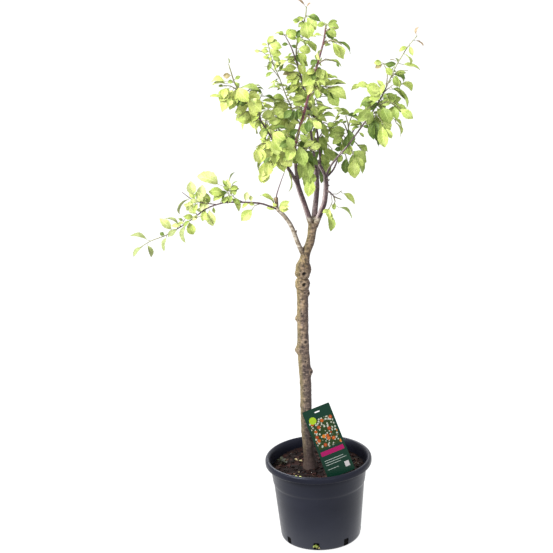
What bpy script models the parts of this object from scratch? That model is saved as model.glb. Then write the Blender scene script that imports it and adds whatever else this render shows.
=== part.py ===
"""A young mirabelle plum tree, grafted on a clean stem and growing in a black nursery pot.

Metres, +Z up, with the origin at the centre of the pot's flat underside. The tree is seen from -Y:
+X is its right and +Y its back. The stem, each limb, each mass of twigs and leaves, the pot, the
soil and the plant label are separate closed solids that stand SEAT_GAP clear of each other.
"""

import random
from collections import namedtuple
from math import ceil, cos, exp, hypot, pi, radians, sin

import bmesh
import bpy
from mathutils import Matrix, Quaternion, Vector, geometry, kdtree

# Driving dimensions
POT_HEIGHT = 0.225
RIM_RADIUS = 0.140
FOOT_RADIUS = 0.101
POT_WALL = 0.0025
POT_FLOOR = 0.0025
SOIL_LEVEL = 0.1915
TRUNK_RADIUS = 0.0142
LEADER_RADIUS = 0.0105
LEAF_THICKNESS = 0.028  # of a leaf's length, at its middle
LABEL_WIDTH = 0.075
LABEL_LENGTH = 0.186
LABEL_THICKNESS = 0.001
SEAT_GAP = 0.0003

# The pot's outer wall, radius and height, from its foot to the top of its rim
POT_OUTSIDE = [
    (FOOT_RADIUS, 0.0), (0.1047, 0.004), (0.1062, 0.010), (0.1194, 0.155), (0.1215, 0.160),
    (0.1272, 0.205), (0.1368, 0.207), (RIM_RADIUS, 0.2105), (RIM_RADIUS, 0.2185),
    (0.1378, 0.2232), (0.1345, POT_HEIGHT),
]
POT_STEPS = 36
DRAIN_SLOTS = 8
SLOT_WIDTH = 0.015
SLOT_BOTTOM, SLOT_TOP = 0.0035, 0.0245
SLOT_TURN = radians(-98.5)  # the slot next to the middle of the front

GOLDEN_TURN = radians(137.5)
UP = Vector((0, 0, 1))

# The stem's centre line from the soil to the fork of the crown
TRUNK_LINE = [
    (-0.022, 0.000, SOIL_LEVEL + SEAT_GAP), (-0.0275, -0.003, 0.32), (-0.026, -0.004, 0.44),
    (-0.0285, -0.002, 0.54), (-0.0255, 0.001, 0.66), (-0.0235, 0.001, 0.72), (-0.0155, 0.000, 0.775),
    (-0.0005, 0.000, 0.817), (0.009, 0.000, 0.866),
]
# Swellings all round the stem: height, growth of the radius, half height
SWELLINGS = [
    (0.192, 0.0052, 0.020), (0.485, 0.0009, 0.060), (0.692, 0.0030, 0.010),
    (0.734, 0.0056, 0.014), (0.756, 0.0026, 0.007), (0.866, 0.0020, 0.014),
]
# Knobs on one side of the stem: height, heading in degrees, growth, half height
KNOBS = [
    (0.466, 0, 0.0022, 0.007), (0.523, 185, 0.0024, 0.008), (0.553, 285, 0.0016, 0.006),
    (0.608, 180, 0.0030, 0.008), (0.675, 330, 0.0018, 0.006), (0.740, 200, 0.0030, 0.008),
    (0.700, 215, 0.0024, 0.007), (0.742, 20, 0.0022, 0.008), (0.300, 190, 0.0014, 0.008),
]

# Each limb: name, centre line, radius at its foot and at its tip, and the limbs it is fitted to
Limb = namedtuple("Limb", "name line foot tip fitted_to")
LIMBS = [
    Limb("low_left_bough",
         [(-0.016, 0, 0.776), (-0.024, -0.006, 0.794), (-0.034, -0.012, 0.822), (-0.043, -0.020, 0.853),
          (-0.051, -0.024, 0.873), (-0.066, -0.030, 0.897), (-0.080, -0.034, 0.913)],
         0.0060, 0.0046, ["trunk"]),
    Limb("right_limb",
         [(0.0125, -0.002, 0.855), (0.030, -0.005, 0.897), (0.038, -0.007, 0.918), (0.043, -0.010, 0.955),
          (0.043, -0.012, 0.992)],
         0.0066, 0.0054, ["trunk"]),
    Limb("left_limb",
         [(0.0055, -0.002, 0.852), (-0.009, -0.006, 0.905), (-0.021, -0.012, 0.946), (-0.027, -0.016, 0.970)],
         0.0062, 0.0056, ["trunk", "right_limb"]),
    Limb("middle_limb",
         [(0.009, 0.005, 0.852), (0.015, 0.011, 0.901), (0.020, 0.016, 0.937), (0.022, 0.020, 0.962),
          (0.020, 0.030, 0.999)],
         0.0066, 0.0044, ["trunk", "right_limb", "left_limb"]),
    Limb("left_outer_bough",
         [(-0.026, -0.015, 0.966), (-0.040, -0.026, 0.998), (-0.051, -0.034, 1.019)],
         0.0046, 0.0040, ["left_limb"]),
    Limb("left_inner_bough",
         [(-0.026, -0.016, 0.964), (-0.029, -0.017, 1.006), (-0.033, -0.020, 1.053)],
         0.0048, 0.0036, ["left_limb", "left_outer_bough"]),
    Limb("right_outer_bough",
         [(0.043, -0.013, 0.986), (0.060, -0.017, 1.019), (0.099, -0.030, 1.066)],
         0.0042, 0.0031, ["right_limb"]),
    Limb("right_inner_bough",
         [(0.043, -0.011, 0.986), (0.029, -0.004, 1.015), (0.013, 0.008, 1.032)],
         0.0044, 0.0036, ["right_limb", "right_outer_bough"]),
    Limb("right_lower_bough",
         [(0.044, -0.009, 0.984), (0.060, 0.007, 1.006), (0.078, 0.024, 1.026)],
         0.0036, 0.0029, ["right_limb", "right_outer_bough", "right_inner_bough"]),
    Limb("back_bough",
         [(0.022, 0.022, 0.957), (0.027, 0.048, 0.984), (0.034, 0.075, 1.008)],
         0.0040, 0.0034, ["middle_limb"]),
    Limb("right_spur",
         [(0.043, -0.011, 0.951), (0.053, -0.015, 0.945)],
         0.0026, 0.0022, ["right_limb"]),
]

# Each mass: the bough at whose tip its stem starts, the stem's line from there and its radii, its main side twigs, how many finer side
# twigs grow by the seeded rule and how long, where its leaves begin, the space between leaf clusters,
# the leaves in a cluster, a leaf's length, how far leaves hang, and the seed.
# A side twig: share of the stem at its root, length, heading and rise in degrees.
Mass = namedtuple("Mass", "name bough line foot tip side_twigs fine_twigs reach bare spacing cluster leaf "
                          "droop seed")
MASSES = [
    Mass("left_spray", "low_left_bough",
         [(-0.115, -0.040, 0.930), (-0.160, -0.046, 0.938), (-0.214, -0.050, 0.940),
          (-0.252, -0.050, 0.929), (-0.306, -0.048, 0.892), (-0.362, -0.050, 0.862), (-0.397, -0.052, 0.851),
          (-0.431, -0.054, 0.832)],
         0.0032, 0.0013,
         [(0.40, 0.094, 186, 24), (0.27, 0.047, 144, 50), (0.12, 0.030, 200, -33), (0.55, 0.044, 92, 49),
          (0.56, 0.046, 291, 15), (0.66, 0.030, 80, 20)],
         0, 0, 0.40, 0.026, 2.4, 0.044, 0.35, 3),
    Mass("low_left_shoot", "low_left_bough",
         [(-0.082, -0.036, 0.943), (-0.071, -0.038, 0.978), (-0.058, -0.042, 1.012)],
         0.0034, 0.0013, [], 0, 0, 0.22, 0.300, 5, 0.036, 0.10, 5),
    Mass("left_crown", "left_outer_bough",
         [(-0.075, -0.045, 1.076), (-0.109, -0.055, 1.140), (-0.132, -0.065, 1.182),
          (-0.152, -0.075, 1.212), (-0.168, -0.085, 1.242), (-0.181, -0.095, 1.292)],
         0.0030, 0.0013,
         [(0.74, 0.055, 193, 24), (0.62, 0.075, 213, 19), (0.50, 0.063, 221, 7), (0.45, 0.070, 81, 59),
          (0.42, 0.054, 140, 7), (0.68, 0.028, 46, 52)],
         3, 0.060, 0.30, 0.026, 4, 0.056, 0.45, 7),
    Mass("left_skirt", "left_outer_bough",
         [(-0.059, -0.060, 1.053), (-0.077, -0.085, 1.087), (-0.101, -0.100, 1.104)],
         0.0028, 0.0014,
         [(0.50, 0.041, 194, -18), (0.30, 0.040, 237, 10), (0.70, 0.053, 229, 65), (0.80, 0.053, 216, 3)],
         2, 0.050, 0.20, 0.028, 4, 0.057, 0.80, 11),
    Mass("centre_crown", "left_inner_bough",
         [(-0.026, -0.026, 1.085), (-0.005, -0.036, 1.154), (0.015, -0.040, 1.225),
          (0.032, -0.040, 1.276), (0.049, -0.038, 1.332), (0.055, -0.036, 1.367)],
         0.0033, 0.0017,
         [(0.93, 0.037, 337, 27), (0.85, 0.050, 334, 4), (0.70, 0.048, 348, 8), (0.55, 0.054, 336, 23),
          (0.45, 0.072, 351, 16), (0.50, 0.058, 299, -1), (0.62, 0.051, 238, 47), (0.30, 0.071, 239, 25),
          (0.22, 0.079, 291, 22), (0.75, 0.049, 241, 45)],
         0, 0, 0.12, 0.042, 3, 0.050, 0.45, 13),
    Mass("top_crown", "middle_limb",
         [(0.014, 0.036, 1.064), (0.006, 0.042, 1.145), (-0.008, 0.045, 1.229),
          (-0.017, 0.040, 1.273), (-0.016, 0.035, 1.308), (-0.006, 0.030, 1.338), (0.009, 0.025, 1.383),
          (0.011, 0.025, 1.402)],
         0.0035, 0.0013,
         [(0.70, 0.048, 154, 56), (0.85, 0.033, 343, 22), (0.80, 0.034, 32, -12), (0.66, 0.037, 148, -6),
          (0.55, 0.048, 199, 19), (0.45, 0.050, 46, -2), (0.35, 0.061, 8, 1), (0.25, 0.052, 12, -9),
          (0.90, 0.014, 219, 41)],
         2, 0.070, 0.10, 0.045, 3, 0.049, 0.45, 17),
    Mass("upper_left_crown", "right_inner_bough",
         [(-0.004, 0.012, 1.086), (-0.024, 0.010, 1.135), (-0.045, 0.005, 1.185),
          (-0.060, 0.000, 1.232), (-0.078, -0.005, 1.283), (-0.086, -0.008, 1.323)],
         0.0033, 0.0013,
         [(0.80, 0.061, 190, 49), (0.70, 0.061, 219, 39), (0.60, 0.054, 145, 30), (0.50, 0.066, 216, 20),
          (0.42, 0.053, 142, -11), (0.33, 0.053, 230, 9)],
         0, 0, 0.15, 0.036, 3, 0.051, 0.45, 19),
    Mass("front_crown", "right_inner_bough",
         [(0.001, -0.030, 1.054), (-0.014, -0.070, 1.074), (-0.031, -0.110, 1.096)],
         0.0030, 0.0014,
         [(0.35, 0.049, 261, -42), (0.50, 0.071, 292, -55), (0.60, 0.072, 232, -11), (0.60, 0.064, 299, 6),
          (0.80, 0.076, 273, 46), (0.90, 0.056, 230, 43)],
         0, 0, 0.30, 0.030, 3, 0.058, 0.80, 23),
    Mass("right_crown", "right_outer_bough",
         [(0.141, -0.036, 1.123), (0.173, -0.040, 1.168), (0.196, -0.040, 1.210),
          (0.221, -0.036, 1.260), (0.254, -0.030, 1.309), (0.274, -0.028, 1.330)],
         0.0028, 0.0013,
         [(0.55, 0.059, 125, 78), (0.62, 0.051, 333, 24), (0.50, 0.051, 348, 23), (0.42, 0.056, 148, 47),
          (0.35, 0.047, 243, 14), (0.38, 0.070, 325, 0), (0.28, 0.058, 310, -17), (0.22, 0.045, 319, -35),
          (0.30, 0.080, 28, -20)],
         0, 0, 0.22, 0.040, 3, 0.050, 0.60, 29),
    Mass("right_skirt", "right_lower_bough",
         [(0.099, 0.030, 1.059), (0.105, 0.030, 1.098), (0.099, 0.030, 1.128)],
         0.0026, 0.0013,
         [(0.25, 0.041, 308, -25), (0.10, 0.035, 316, -47), (0.35, 0.054, 26, -32), (0.60, 0.059, 220, 38),
          (0.70, 0.042, 66, 38), (0.40, 0.035, 223, 33)],
         0, 0, 0.30, 0.035, 3, 0.053, 0.85, 31),
    Mass("back_crown", "back_bough",
         [(0.031, 0.100, 1.055), (0.023, 0.120, 1.109), (0.005, 0.130, 1.164),
          (-0.008, 0.130, 1.211)],
         0.0032, 0.0014,
         [(0.35, 0.073, 45, -9), (0.50, 0.079, 140, 7), (0.60, 0.068, 45, 18), (0.75, 0.063, 131, 30),
          (0.20, 0.070, 130, -1), (0.20, 0.049, 34, -30), (0.85, 0.061, 60, 21)],
         3, 0.070, 0.15, 0.036, 4, 0.054, 0.50, 37),
    Mass("back_left_crown", "left_outer_bough",
         [(-0.058, 0.020, 1.051), (-0.071, 0.060, 1.084), (-0.084, 0.090, 1.119),
          (-0.098, 0.110, 1.152)],
         0.0028, 0.0014,
         [(0.40, 0.042, 162, 11), (0.50, 0.056, 60, 3), (0.65, 0.050, 158, 16), (0.80, 0.055, 55, 29),
          (0.30, 0.044, 168, -23)],
         2, 0.060, 0.20, 0.036, 4, 0.054, 0.55, 41),
    Mass("right_sprig", "right_spur",
         [(0.063, -0.020, 0.935), (0.080, -0.026, 0.929)],
         0.0020, 0.0013,
         [(0.35, 0.027, 259, -65)],
         0, 0, 0.50, 0.030, 2, 0.046, 0.50, 43),
]
TWIG_ROOT, TWIG_TIP = 0.0017, 0.0011
CLUSTER_SPLIT = 2  # leaves of a cluster past this count are too fine for the solids
LEAF_ROOM = 0.003  # kept free round a leaf, to a limb or to another mass
LEAF_CROWD = 0.016  # least distance between the middles of two leaves


# Objects, materials and collections
def fresh_scene():
    """Empties the scene and gives the collections of the tree and of its cutters."""
    for old in list(bpy.data.objects):
        bpy.data.objects.remove(old)
    tree = bpy.data.collections.new("potted_mirabelle_plum_tree")
    cutters = bpy.data.collections.new("cutters")
    for group in (tree, cutters):
        bpy.context.scene.collection.children.link(group)
    return tree, cutters


def finish(name, colour, roughness):
    """A plain Principled material."""
    material = bpy.data.materials.new(name)
    material.use_nodes = True
    shader = material.node_tree.nodes["Principled BSDF"]
    shader.inputs["Base Color"].default_value = (*colour, 1)
    shader.inputs["Roughness"].default_value = roughness
    shader.inputs["Metallic"].default_value = 0.0
    return material


def add_object(name, solid, group, material=None):
    """Turns a bmesh into an object in a collection."""
    mesh = bpy.data.meshes.new(name)
    solid.to_mesh(mesh)
    solid.free()
    piece = bpy.data.objects.new(name, mesh)
    if material:
        mesh.materials.append(material)
    group.objects.link(piece)
    return piece


def combine(base, pieces, operation):
    """Joins pieces to base, or cuts them from it, with one Boolean that is then applied."""
    group = bpy.data.collections.new(base.name + "_pieces")
    bpy.context.scene.collection.children.link(group)
    for piece in pieces:
        group.objects.link(piece)
    step = base.modifiers.new("boolean", "BOOLEAN")
    step.operation = operation
    step.operand_type = "COLLECTION"
    step.collection = group
    step.solver = "EXACT"
    seen = base.evaluated_get(bpy.context.evaluated_depsgraph_get())
    mesh = bpy.data.meshes.new_from_object(seen)
    base.modifiers.remove(step)
    base.data = mesh
    for piece in list(group.objects):
        bpy.data.objects.remove(piece)
    bpy.data.collections.remove(group)
    keep_main_body(mesh)


def keep_main_body(mesh):
    """Keeps the largest closed shell, so that sealed hollows are filled and loose scraps go."""
    solid = bmesh.new()
    solid.from_mesh(mesh)
    bmesh.ops.triangulate(solid, faces=solid.faces[:])
    left = set(solid.verts)
    shells = []
    while left:
        todo = [left.pop()]
        shell = set(todo)
        while todo:
            for edge in todo.pop().link_edges:
                for vert in edge.verts:
                    if vert in left:
                        left.remove(vert)
                        shell.add(vert)
                        todo.append(vert)
        shells.append(shell)

    def volume(shell):
        faces = {face for vert in shell for face in vert.link_faces}
        return sum(face.verts[0].co.dot(face.verts[1].co.cross(face.verts[2].co)) for face in faces)

    shells.sort(key=volume)
    spare = [vert for shell in shells[:-1] for vert in shell]
    bmesh.ops.delete(solid, geom=spare, context="VERTS")
    solid.to_mesh(mesh)
    solid.free()


# Lines and limbs
def smooth_path(points, step):
    """Points about a step apart on a smooth curve through the given ones."""
    points = [Vector(point) for point in points]
    ends = [2 * points[0] - points[1], *points, 2 * points[-1] - points[-2]]
    path = [points[0]]
    for before, start, end, after in zip(ends, ends[1:], ends[2:], ends[3:]):
        count = max(1, round((end - start).length / step))
        curve = geometry.interpolate_bezier(
            start, start + (end - before) / 6, end - (after - start) / 6, end, count + 1)
        path += curve[1:]
    return path


def lengths_along(path):
    """The distance of each point from the path's start."""
    at = [0.0]
    for start, end in zip(path, path[1:]):
        at.append(at[-1] + (end - start).length)
    return at


def spot_on(path, share):
    """The place at a share of a path's length, and the direction there."""
    at = lengths_along(path)
    goal = share * at[-1]
    last = len(path) - 2
    k = next((k for k in range(last) if goal <= at[k + 1]), last)
    start, end = path[k], path[k + 1]
    part = (goal - at[k]) / (at[k + 1] - at[k])
    return start.lerp(end, part), (end - start).normalized()


def limb_solid(path, radius, sides, level_foot=False):
    """A closed limb, extruded ring by ring; radius(k, spot, angle) is its half thickness at ring k."""
    solid = bmesh.new()
    bmesh.ops.create_circle(solid, cap_ends=True, segments=sides, radius=1)
    face = solid.faces[:][0]
    angle = {vert: 2 * pi * k / sides for k, vert in enumerate(face.verts)}
    steps = [(end - start).normalized() for start, end in zip(path, path[1:])]
    ways = [steps[0], *((a + b).normalized() for a, b in zip(steps, steps[1:])), steps[-1]]
    if level_foot:
        ways[0] = UP.copy()
    turn = UP.rotation_difference(ways[0])
    for k, spot in enumerate(path):
        if k:
            turn = ways[k - 1].rotation_difference(ways[k]) @ turn
            region = [face, *face.edges, *face.verts]
            grown = bmesh.ops.extrude_face_region(solid, geom=region)["geom"]
            face = next(part for part in grown if isinstance(part, bmesh.types.BMFace))
            above = {}
            for vert in face.verts:
                below = next(edge.other_vert(vert) for edge in vert.link_edges
                             if edge.other_vert(vert) in angle)
                above[vert] = angle[below]
            angle = above
        for vert, around in angle.items():
            reach = radius(k, spot, around)
            vert.co = spot + turn @ Vector((cos(around) * reach, sin(around) * reach, 0))
    bmesh.ops.recalc_face_normals(solid, faces=solid.faces[:])
    return solid


def taper(path, foot, tip, extra=0.0):
    """The radius along a limb that thins evenly from foot to tip, grown by extra."""
    at = lengths_along(path)
    return lambda k, spot, around: foot + (tip - foot) * at[k] / at[-1] + extra


def stretched(path, extra):
    """The path with its two ends moved outwards by extra."""
    path = [point.copy() for point in path]
    path[0] -= (path[1] - path[0]).normalized() * extra
    path[-1] += (path[-1] - path[-2]).normalized() * extra
    return path


# Pot and soil
def turned(name, profile, group, material):
    """A closed half section in the XZ plane, turned round Z."""
    outline = bmesh.new()
    verts = [outline.verts.new((radius, 0, height)) for radius, height in profile]
    for start, end in zip(verts, verts[1:]):
        outline.edges.new((start, end))
    piece = add_object(name, outline, group, material)
    screw = piece.modifiers.new("turn", "SCREW")
    screw.steps = screw.render_steps = POT_STEPS
    screw.use_merge_vertices = True
    screw.merge_threshold = 0.0001
    screw.use_smooth_shade = True
    return piece


def pot_inside():
    """The inner wall, from the rim's inner edge down to the edge of the floor."""
    wall = [(radius - POT_WALL, height) for radius, height in POT_OUTSIDE[5:2:-1]]
    return [(0.1305, 0.2238), (0.1272, 0.2185), *wall,
            (0.1062 - POT_WALL, 0.010), (FOOT_RADIUS, 0.0045), (FOOT_RADIUS - 0.004, POT_FLOOR)]


def make_pot(tree, cutters):
    """The pot is one moulding: a stepped, tapering wall, a rolled rim and slots above its floor."""
    profile = [(0, POT_FLOOR), *reversed(pot_inside()), *reversed(POT_OUTSIDE), (0, 0)]
    pot = turned("pot", profile, tree, finish("pot_plastic", (0.035, 0.038, 0.045), 0.45))
    middle = FOOT_RADIUS + 0.006
    for k in range(DRAIN_SLOTS):
        turn = SLOT_TURN + 2 * pi * k / DRAIN_SLOTS
        box = bmesh.new()
        bmesh.ops.create_cube(box, size=1)
        bmesh.ops.scale(box, vec=(0.020, SLOT_WIDTH, SLOT_TOP - SLOT_BOTTOM), verts=box.verts[:])
        slot = add_object(f"slot_{k + 1}", box, cutters)
        slot.location = (middle * cos(turn), middle * sin(turn), (SLOT_TOP + SLOT_BOTTOM) / 2)
        slot.rotation_euler = (0, 0, turn)
        slot.hide_render = True
        slot.display_type = "WIRE"
    cut = pot.modifiers.new("drain_slots", "BOOLEAN")
    cut.operation = "DIFFERENCE"
    cut.operand_type = "COLLECTION"
    cut.collection = cutters
    cut.solver = "EXACT"


def make_soil(tree):
    """The compost fills the pot to a level below its rim."""
    inside = pot_inside()
    above, below = inside[2], inside[3]
    share = (SOIL_LEVEL - below[1]) / (above[1] - below[1])
    edge = below[0] + (above[0] - below[0]) * share - SEAT_GAP
    wall = [(radius - SEAT_GAP, height + SEAT_GAP) for radius, height in inside[3:]]
    profile = [(0, SOIL_LEVEL), (edge, SOIL_LEVEL), *wall, (0, POT_FLOOR + SEAT_GAP)]
    turned("soil", profile, tree, finish("soil", (0.07, 0.04, 0.028), 0.95))


# Trunk and boughs
def trunk_radius(spot, around):
    """Half thickness of the stem: an even taper, the foot's flare, the graft's swellings and knobs."""
    height = spot.z
    share = min(max((height - 0.755) / 0.035, 0), 1)
    radius = TRUNK_RADIUS + (LEADER_RADIUS - TRUNK_RADIUS) * share
    for middle, growth, half in SWELLINGS:
        radius += growth * exp(-((height - middle) / half) ** 2)
    for middle, heading, growth, half in KNOBS:
        off = (around - radians(heading) + pi) % (2 * pi) - pi
        radius += growth * exp(-((height - middle) / half) ** 2 - (off * radius / (1.3 * half)) ** 2)
    return radius


def trunk_path():
    """The stem's rings are closest where the graft and the forks swell."""
    path = smooth_path(TRUNK_LINE, 0.0065)
    kept = [path[0]]
    for point in path[1:-1]:
        gap = 0.0062 if 0.67 < point.z < 0.80 else 0.018 if 0.23 < point.z < 0.83 else 0.010
        if (point - kept[-1]).length > gap:
            kept.append(point)
    return kept + [path[-1]]


def trunk_solid(extra=0.0):
    path = stretched(trunk_path(), extra)
    return limb_solid(path, lambda k, spot, around: trunk_radius(spot, around) + extra, 12, level_foot=True)


def limb_path(limb):
    return smooth_path(limb.line, 0.016)


def grown_limb(limb, extra=0.0):
    """The limb's solid, grown all round by extra."""
    path = limb_path(limb)
    return limb_solid(stretched(path, extra), taper(path, limb.foot, limb.tip, extra), 8)


def grown_solids(names, group, extra=SEAT_GAP):
    """Copies of the named limbs, grown by the gap that their neighbours keep."""
    by_name = {limb.name: limb for limb in LIMBS}
    copies = []
    for name in names:
        solid = trunk_solid(extra) if name == "trunk" else grown_limb(by_name[name], extra)
        copies.append(add_object(name + "_grown", solid, group))
    return copies


def make_wood(tree, cutters, bark):
    """The stem, and each limb with its foot cut to the shape of what it grows from."""
    trunk = add_object("trunk", trunk_solid(), tree, bark)
    for limb in LIMBS:
        piece = add_object(limb.name, grown_limb(limb), tree, bark)
        combine(piece, grown_solids(limb.fitted_to, cutters), "DIFFERENCE")
    return trunk


# The seeded rule that grows twigs and leaves
Twig = namedtuple("Twig", "path foot tip order")
Leaf = namedtuple("Leaf", "root along face length width fine")


def sideways(along, turn):
    """A direction square to a twig, turned about it."""
    side = along.cross(UP)
    if side.length < 0.05:
        side = Vector((1, 0, 0))
    return Quaternion(along, turn) @ side.normalized()


def heading(turn, rise):
    """The direction with a heading round Z and a rise, both in degrees."""
    turn, rise = radians(turn), radians(rise)
    return Vector((cos(turn) * cos(rise), sin(turn) * cos(rise), sin(rise)))


def side_path(root, along, reach):
    """A side twig leaves its stem forwards and bends over to its tip."""
    length = reach.length
    bend = root + along * (0.22 * length) + reach * 0.38 + UP * (0.03 * length)
    return smooth_path([root, bend, root + reach], 0.05)


def leaf_from(rng, root, out, length, droop, fine=False):
    """One leaf that starts at root, points out, hangs by droop and turns its face to the light."""
    along = (out - UP * droop).normalized()
    outward = Vector((root.x, root.y, 0))
    outward = outward.normalized() if outward.length > 0.02 else Vector()
    chance = Vector((rng.gauss(0, 0.38), rng.gauss(0, 0.38), rng.gauss(0, 0.23)))
    face = UP * 0.5 + outward * 0.35 + chance
    face -= along * face.dot(along)
    face = face.normalized() if face.length > 0.1 else sideways(along, 0.5)
    return Leaf(root, along, face, length, length * rng.uniform(0.50, 0.62), fine)


def leaf_spots(leaf):
    """Points that stand for a leaf where its space is tested: the tip, the edges and the middle."""
    side = leaf.along.cross(leaf.face) * leaf.width
    places = [(1, 0), (0.70, 0.46), (0.70, -0.46), (0.30, 0.42), (0.30, -0.42), (0.5, 0)]
    return [leaf.root + leaf.along * (leaf.length * share) + side * part for share, part in places]


def grow_twigs(mass, rng):
    """The stem, its main side twigs and the finer ones, which turn round it by the golden angle."""
    start = next(limb.line[-1] for limb in LIMBS if limb.name == mass.bough)
    stem = smooth_path([start, *mass.line], 0.03)
    twigs = [Twig(stem, mass.foot, mass.tip, 0)]
    for share, length, turn, rise in mass.side_twigs:
        root, along = spot_on(stem, share)
        twigs.append(Twig(side_path(root, along, heading(turn, rise) * length), TWIG_ROOT, TWIG_TIP, 1))
    turn = rng.uniform(0, 2 * pi)
    for k in range(mass.fine_twigs):
        share = mass.bare + (0.95 - mass.bare) * (k + rng.uniform(0.3, 0.7)) / mass.fine_twigs
        root, along = spot_on(stem, share)
        turn += GOLDEN_TURN + rng.uniform(-0.3, 0.3)
        lean = radians(rng.uniform(50, 70))
        way = along * cos(lean) + sideways(along, turn) * sin(lean) - UP * 0.12
        length = mass.reach * rng.uniform(0.7, 1.1) * (1.15 - 0.5 * share)
        twigs.append(Twig(side_path(root, along, way * length), TWIG_ROOT, TWIG_TIP, 2))
    return twigs


def grow_stem_leaves(mass, stem, rng):
    """Clusters of leaves on short spurs up the stem, smaller towards its tip."""
    leaves = []
    total = lengths_along(stem.path)[-1]
    at = mass.bare * total
    turn = rng.uniform(0, 2 * pi)
    while at < total - 0.012:
        share = at / total
        root, along = spot_on(stem.path, share)
        turn += GOLDEN_TURN + rng.uniform(-0.35, 0.35)
        out = sideways(along, turn)
        fade = 1 - 0.5 * max(0, share - 0.8) / 0.2
        count = max(1, round(mass.cluster * fade + rng.uniform(-0.5, 0.5)))
        start = rng.uniform(0, 2 * pi)
        for k in range(count):
            around = Quaternion(out, start + 2 * pi * k / count + rng.uniform(-0.3, 0.3)) @ along
            spread = radians(rng.uniform(35, 65))
            way = (out * cos(spread) + around * sin(spread) + along * 0.15).normalized()
            length = mass.leaf * fade * rng.uniform(0.75, 1.1)
            droop = mass.droop * rng.uniform(0.3, 1.5)
            leaves.append(leaf_from(rng, root, way, length, droop, k >= CLUSTER_SPLIT))
        at += mass.spacing * rng.uniform(0.8, 1.2)
    return leaves


def grow_twig_leaves(mass, twig, rng):
    """Single leaves, alternate along a side twig."""
    leaves = []
    total = lengths_along(twig.path)[-1]
    at = rng.uniform(0.012, 0.022)
    turn = rng.uniform(0, 2 * pi)
    while at < total - 0.010:
        share = at / total
        root, along = spot_on(twig.path, share)
        turn += GOLDEN_TURN + rng.uniform(-0.35, 0.35)
        lean = radians(rng.uniform(50, 75))
        way = along * cos(lean) + sideways(along, turn) * sin(lean)
        length = mass.leaf * rng.uniform(0.75, 1.05) * (1 - 0.2 * share)
        leaves.append(leaf_from(rng, root, way, length, mass.droop * rng.uniform(0.3, 1.5)))
        at += rng.uniform(0.018, 0.028)
    return leaves


def grow_tip_leaves(mass, twig, rng):
    """Three leaves round the tip of a twig, the first of them in line with it."""
    leaves = []
    tip, along = spot_on(twig.path, 1)
    start = rng.uniform(0, 2 * pi)
    scale = 0.45 if twig.order == 0 else 0.85
    for k in range(3):
        lean = radians(18 if k == 0 else rng.uniform(35, 60))
        way = along * cos(lean) + sideways(along, start + 2 * pi * k / 3) * sin(lean)
        length = mass.leaf * scale * rng.uniform(0.8, 1.0)
        leaves.append(leaf_from(rng, tip - along * 0.003, way, length, mass.droop * rng.uniform(0.2, 0.9)))
    return leaves


def grow_mass(mass):
    """All twigs of a mass with their leaves, before its space is tested."""
    rng = random.Random(mass.seed)
    twigs = grow_twigs(mass, rng)
    leaves = []
    for twig in twigs:
        own = grow_stem_leaves if twig.order == 0 else grow_twig_leaves
        leaves.append(own(mass, twig, rng) + grow_tip_leaves(mass, twig, rng))
    return twigs, leaves


# The space of each mass
def point_tree(points):
    tree = kdtree.KDTree(len(points))
    for k, point in enumerate(points):
        tree.insert(point, k)
    tree.balance()
    return tree


def fine_points(path, step=0.004):
    """Points no further than a step apart on the straight pieces of a path."""
    points = []
    for start, end in zip(path, path[1:]):
        count = ceil((end - start).length / step)
        points += [start.lerp(end, k / count) for k in range(count)]
    return points + [path[-1]]


class Crown:
    """What a twig or a leaf has to keep clear of: the limbs, the other masses and earlier leaves."""

    def __init__(self, grown):
        self.radii = []
        points = []
        solids = [(trunk_path(), None)] + [(limb_path(limb), limb) for limb in LIMBS]
        for path, limb in solids:
            fine = fine_points(path)
            for k, point in enumerate(fine):
                share = k / (len(fine) - 1)
                radius = limb.foot + (limb.tip - limb.foot) * share if limb else 1.3 * TRUNK_RADIUS
                self.radii.append(radius)
            points += fine
        self.limbs = point_tree(points)
        self.masses = {name: point_tree([point for twig in twigs for point in fine_points(twig.path)])
                       for name, (twigs, leaves) in grown.items()}
        self.middles = []

    def clear_of_limbs(self, points, room):
        for point in points:
            place, k, distance = self.limbs.find(point)
            if distance < self.radii[k] + room:
                return False
        return True

    def in_own_space(self, name, points, room):
        """True where each point is nearer to its own mass's twigs than to those of any other."""
        for point in points:
            own = self.masses[name].find(point)[2]
            for other, tree in self.masses.items():
                if other != name and tree.find(point)[2] < own + room:
                    return False
        return True

    def takes_twig(self, name, twig):
        points = fine_points(twig.path)[2:]
        return self.clear_of_limbs(points, 0.004) and self.in_own_space(name, points, 0.005)

    def takes_leaf(self, name, leaf):
        spots = leaf_spots(leaf)
        if any((spots[-1] - other).length < LEAF_CROWD for other in self.middles):
            return False
        if not (self.clear_of_limbs(spots, LEAF_ROOM) and self.in_own_space(name, spots, LEAF_ROOM)):
            return False
        self.middles.append(spots[-1])
        return True


# Masses of foliage
def leaf_solid(leaf):
    """A thin lens of eight faces from root to tip, its edges raised and its tip bent down."""
    solid = bmesh.new()
    bmesh.ops.create_uvsphere(solid, u_segments=4, v_segments=2, radius=1)
    side = leaf.along.cross(leaf.face)
    for vert in solid.verts:
        x, y, z = vert.co
        share = 0.5 + 0.5 * x + (0.04 if abs(y) > 0.5 else 0)
        lift = 0.05 * abs(y) - (0.08 if share > 0.9 else 0)
        vert.co = (leaf.root + leaf.along * (leaf.length * share) + side * (0.58 * leaf.width * y)
                   + leaf.face * (leaf.length * (lift + z * LEAF_THICKNESS / 2)))
    bmesh.ops.recalc_face_normals(solid, faces=solid.faces[:])
    return solid


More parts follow.
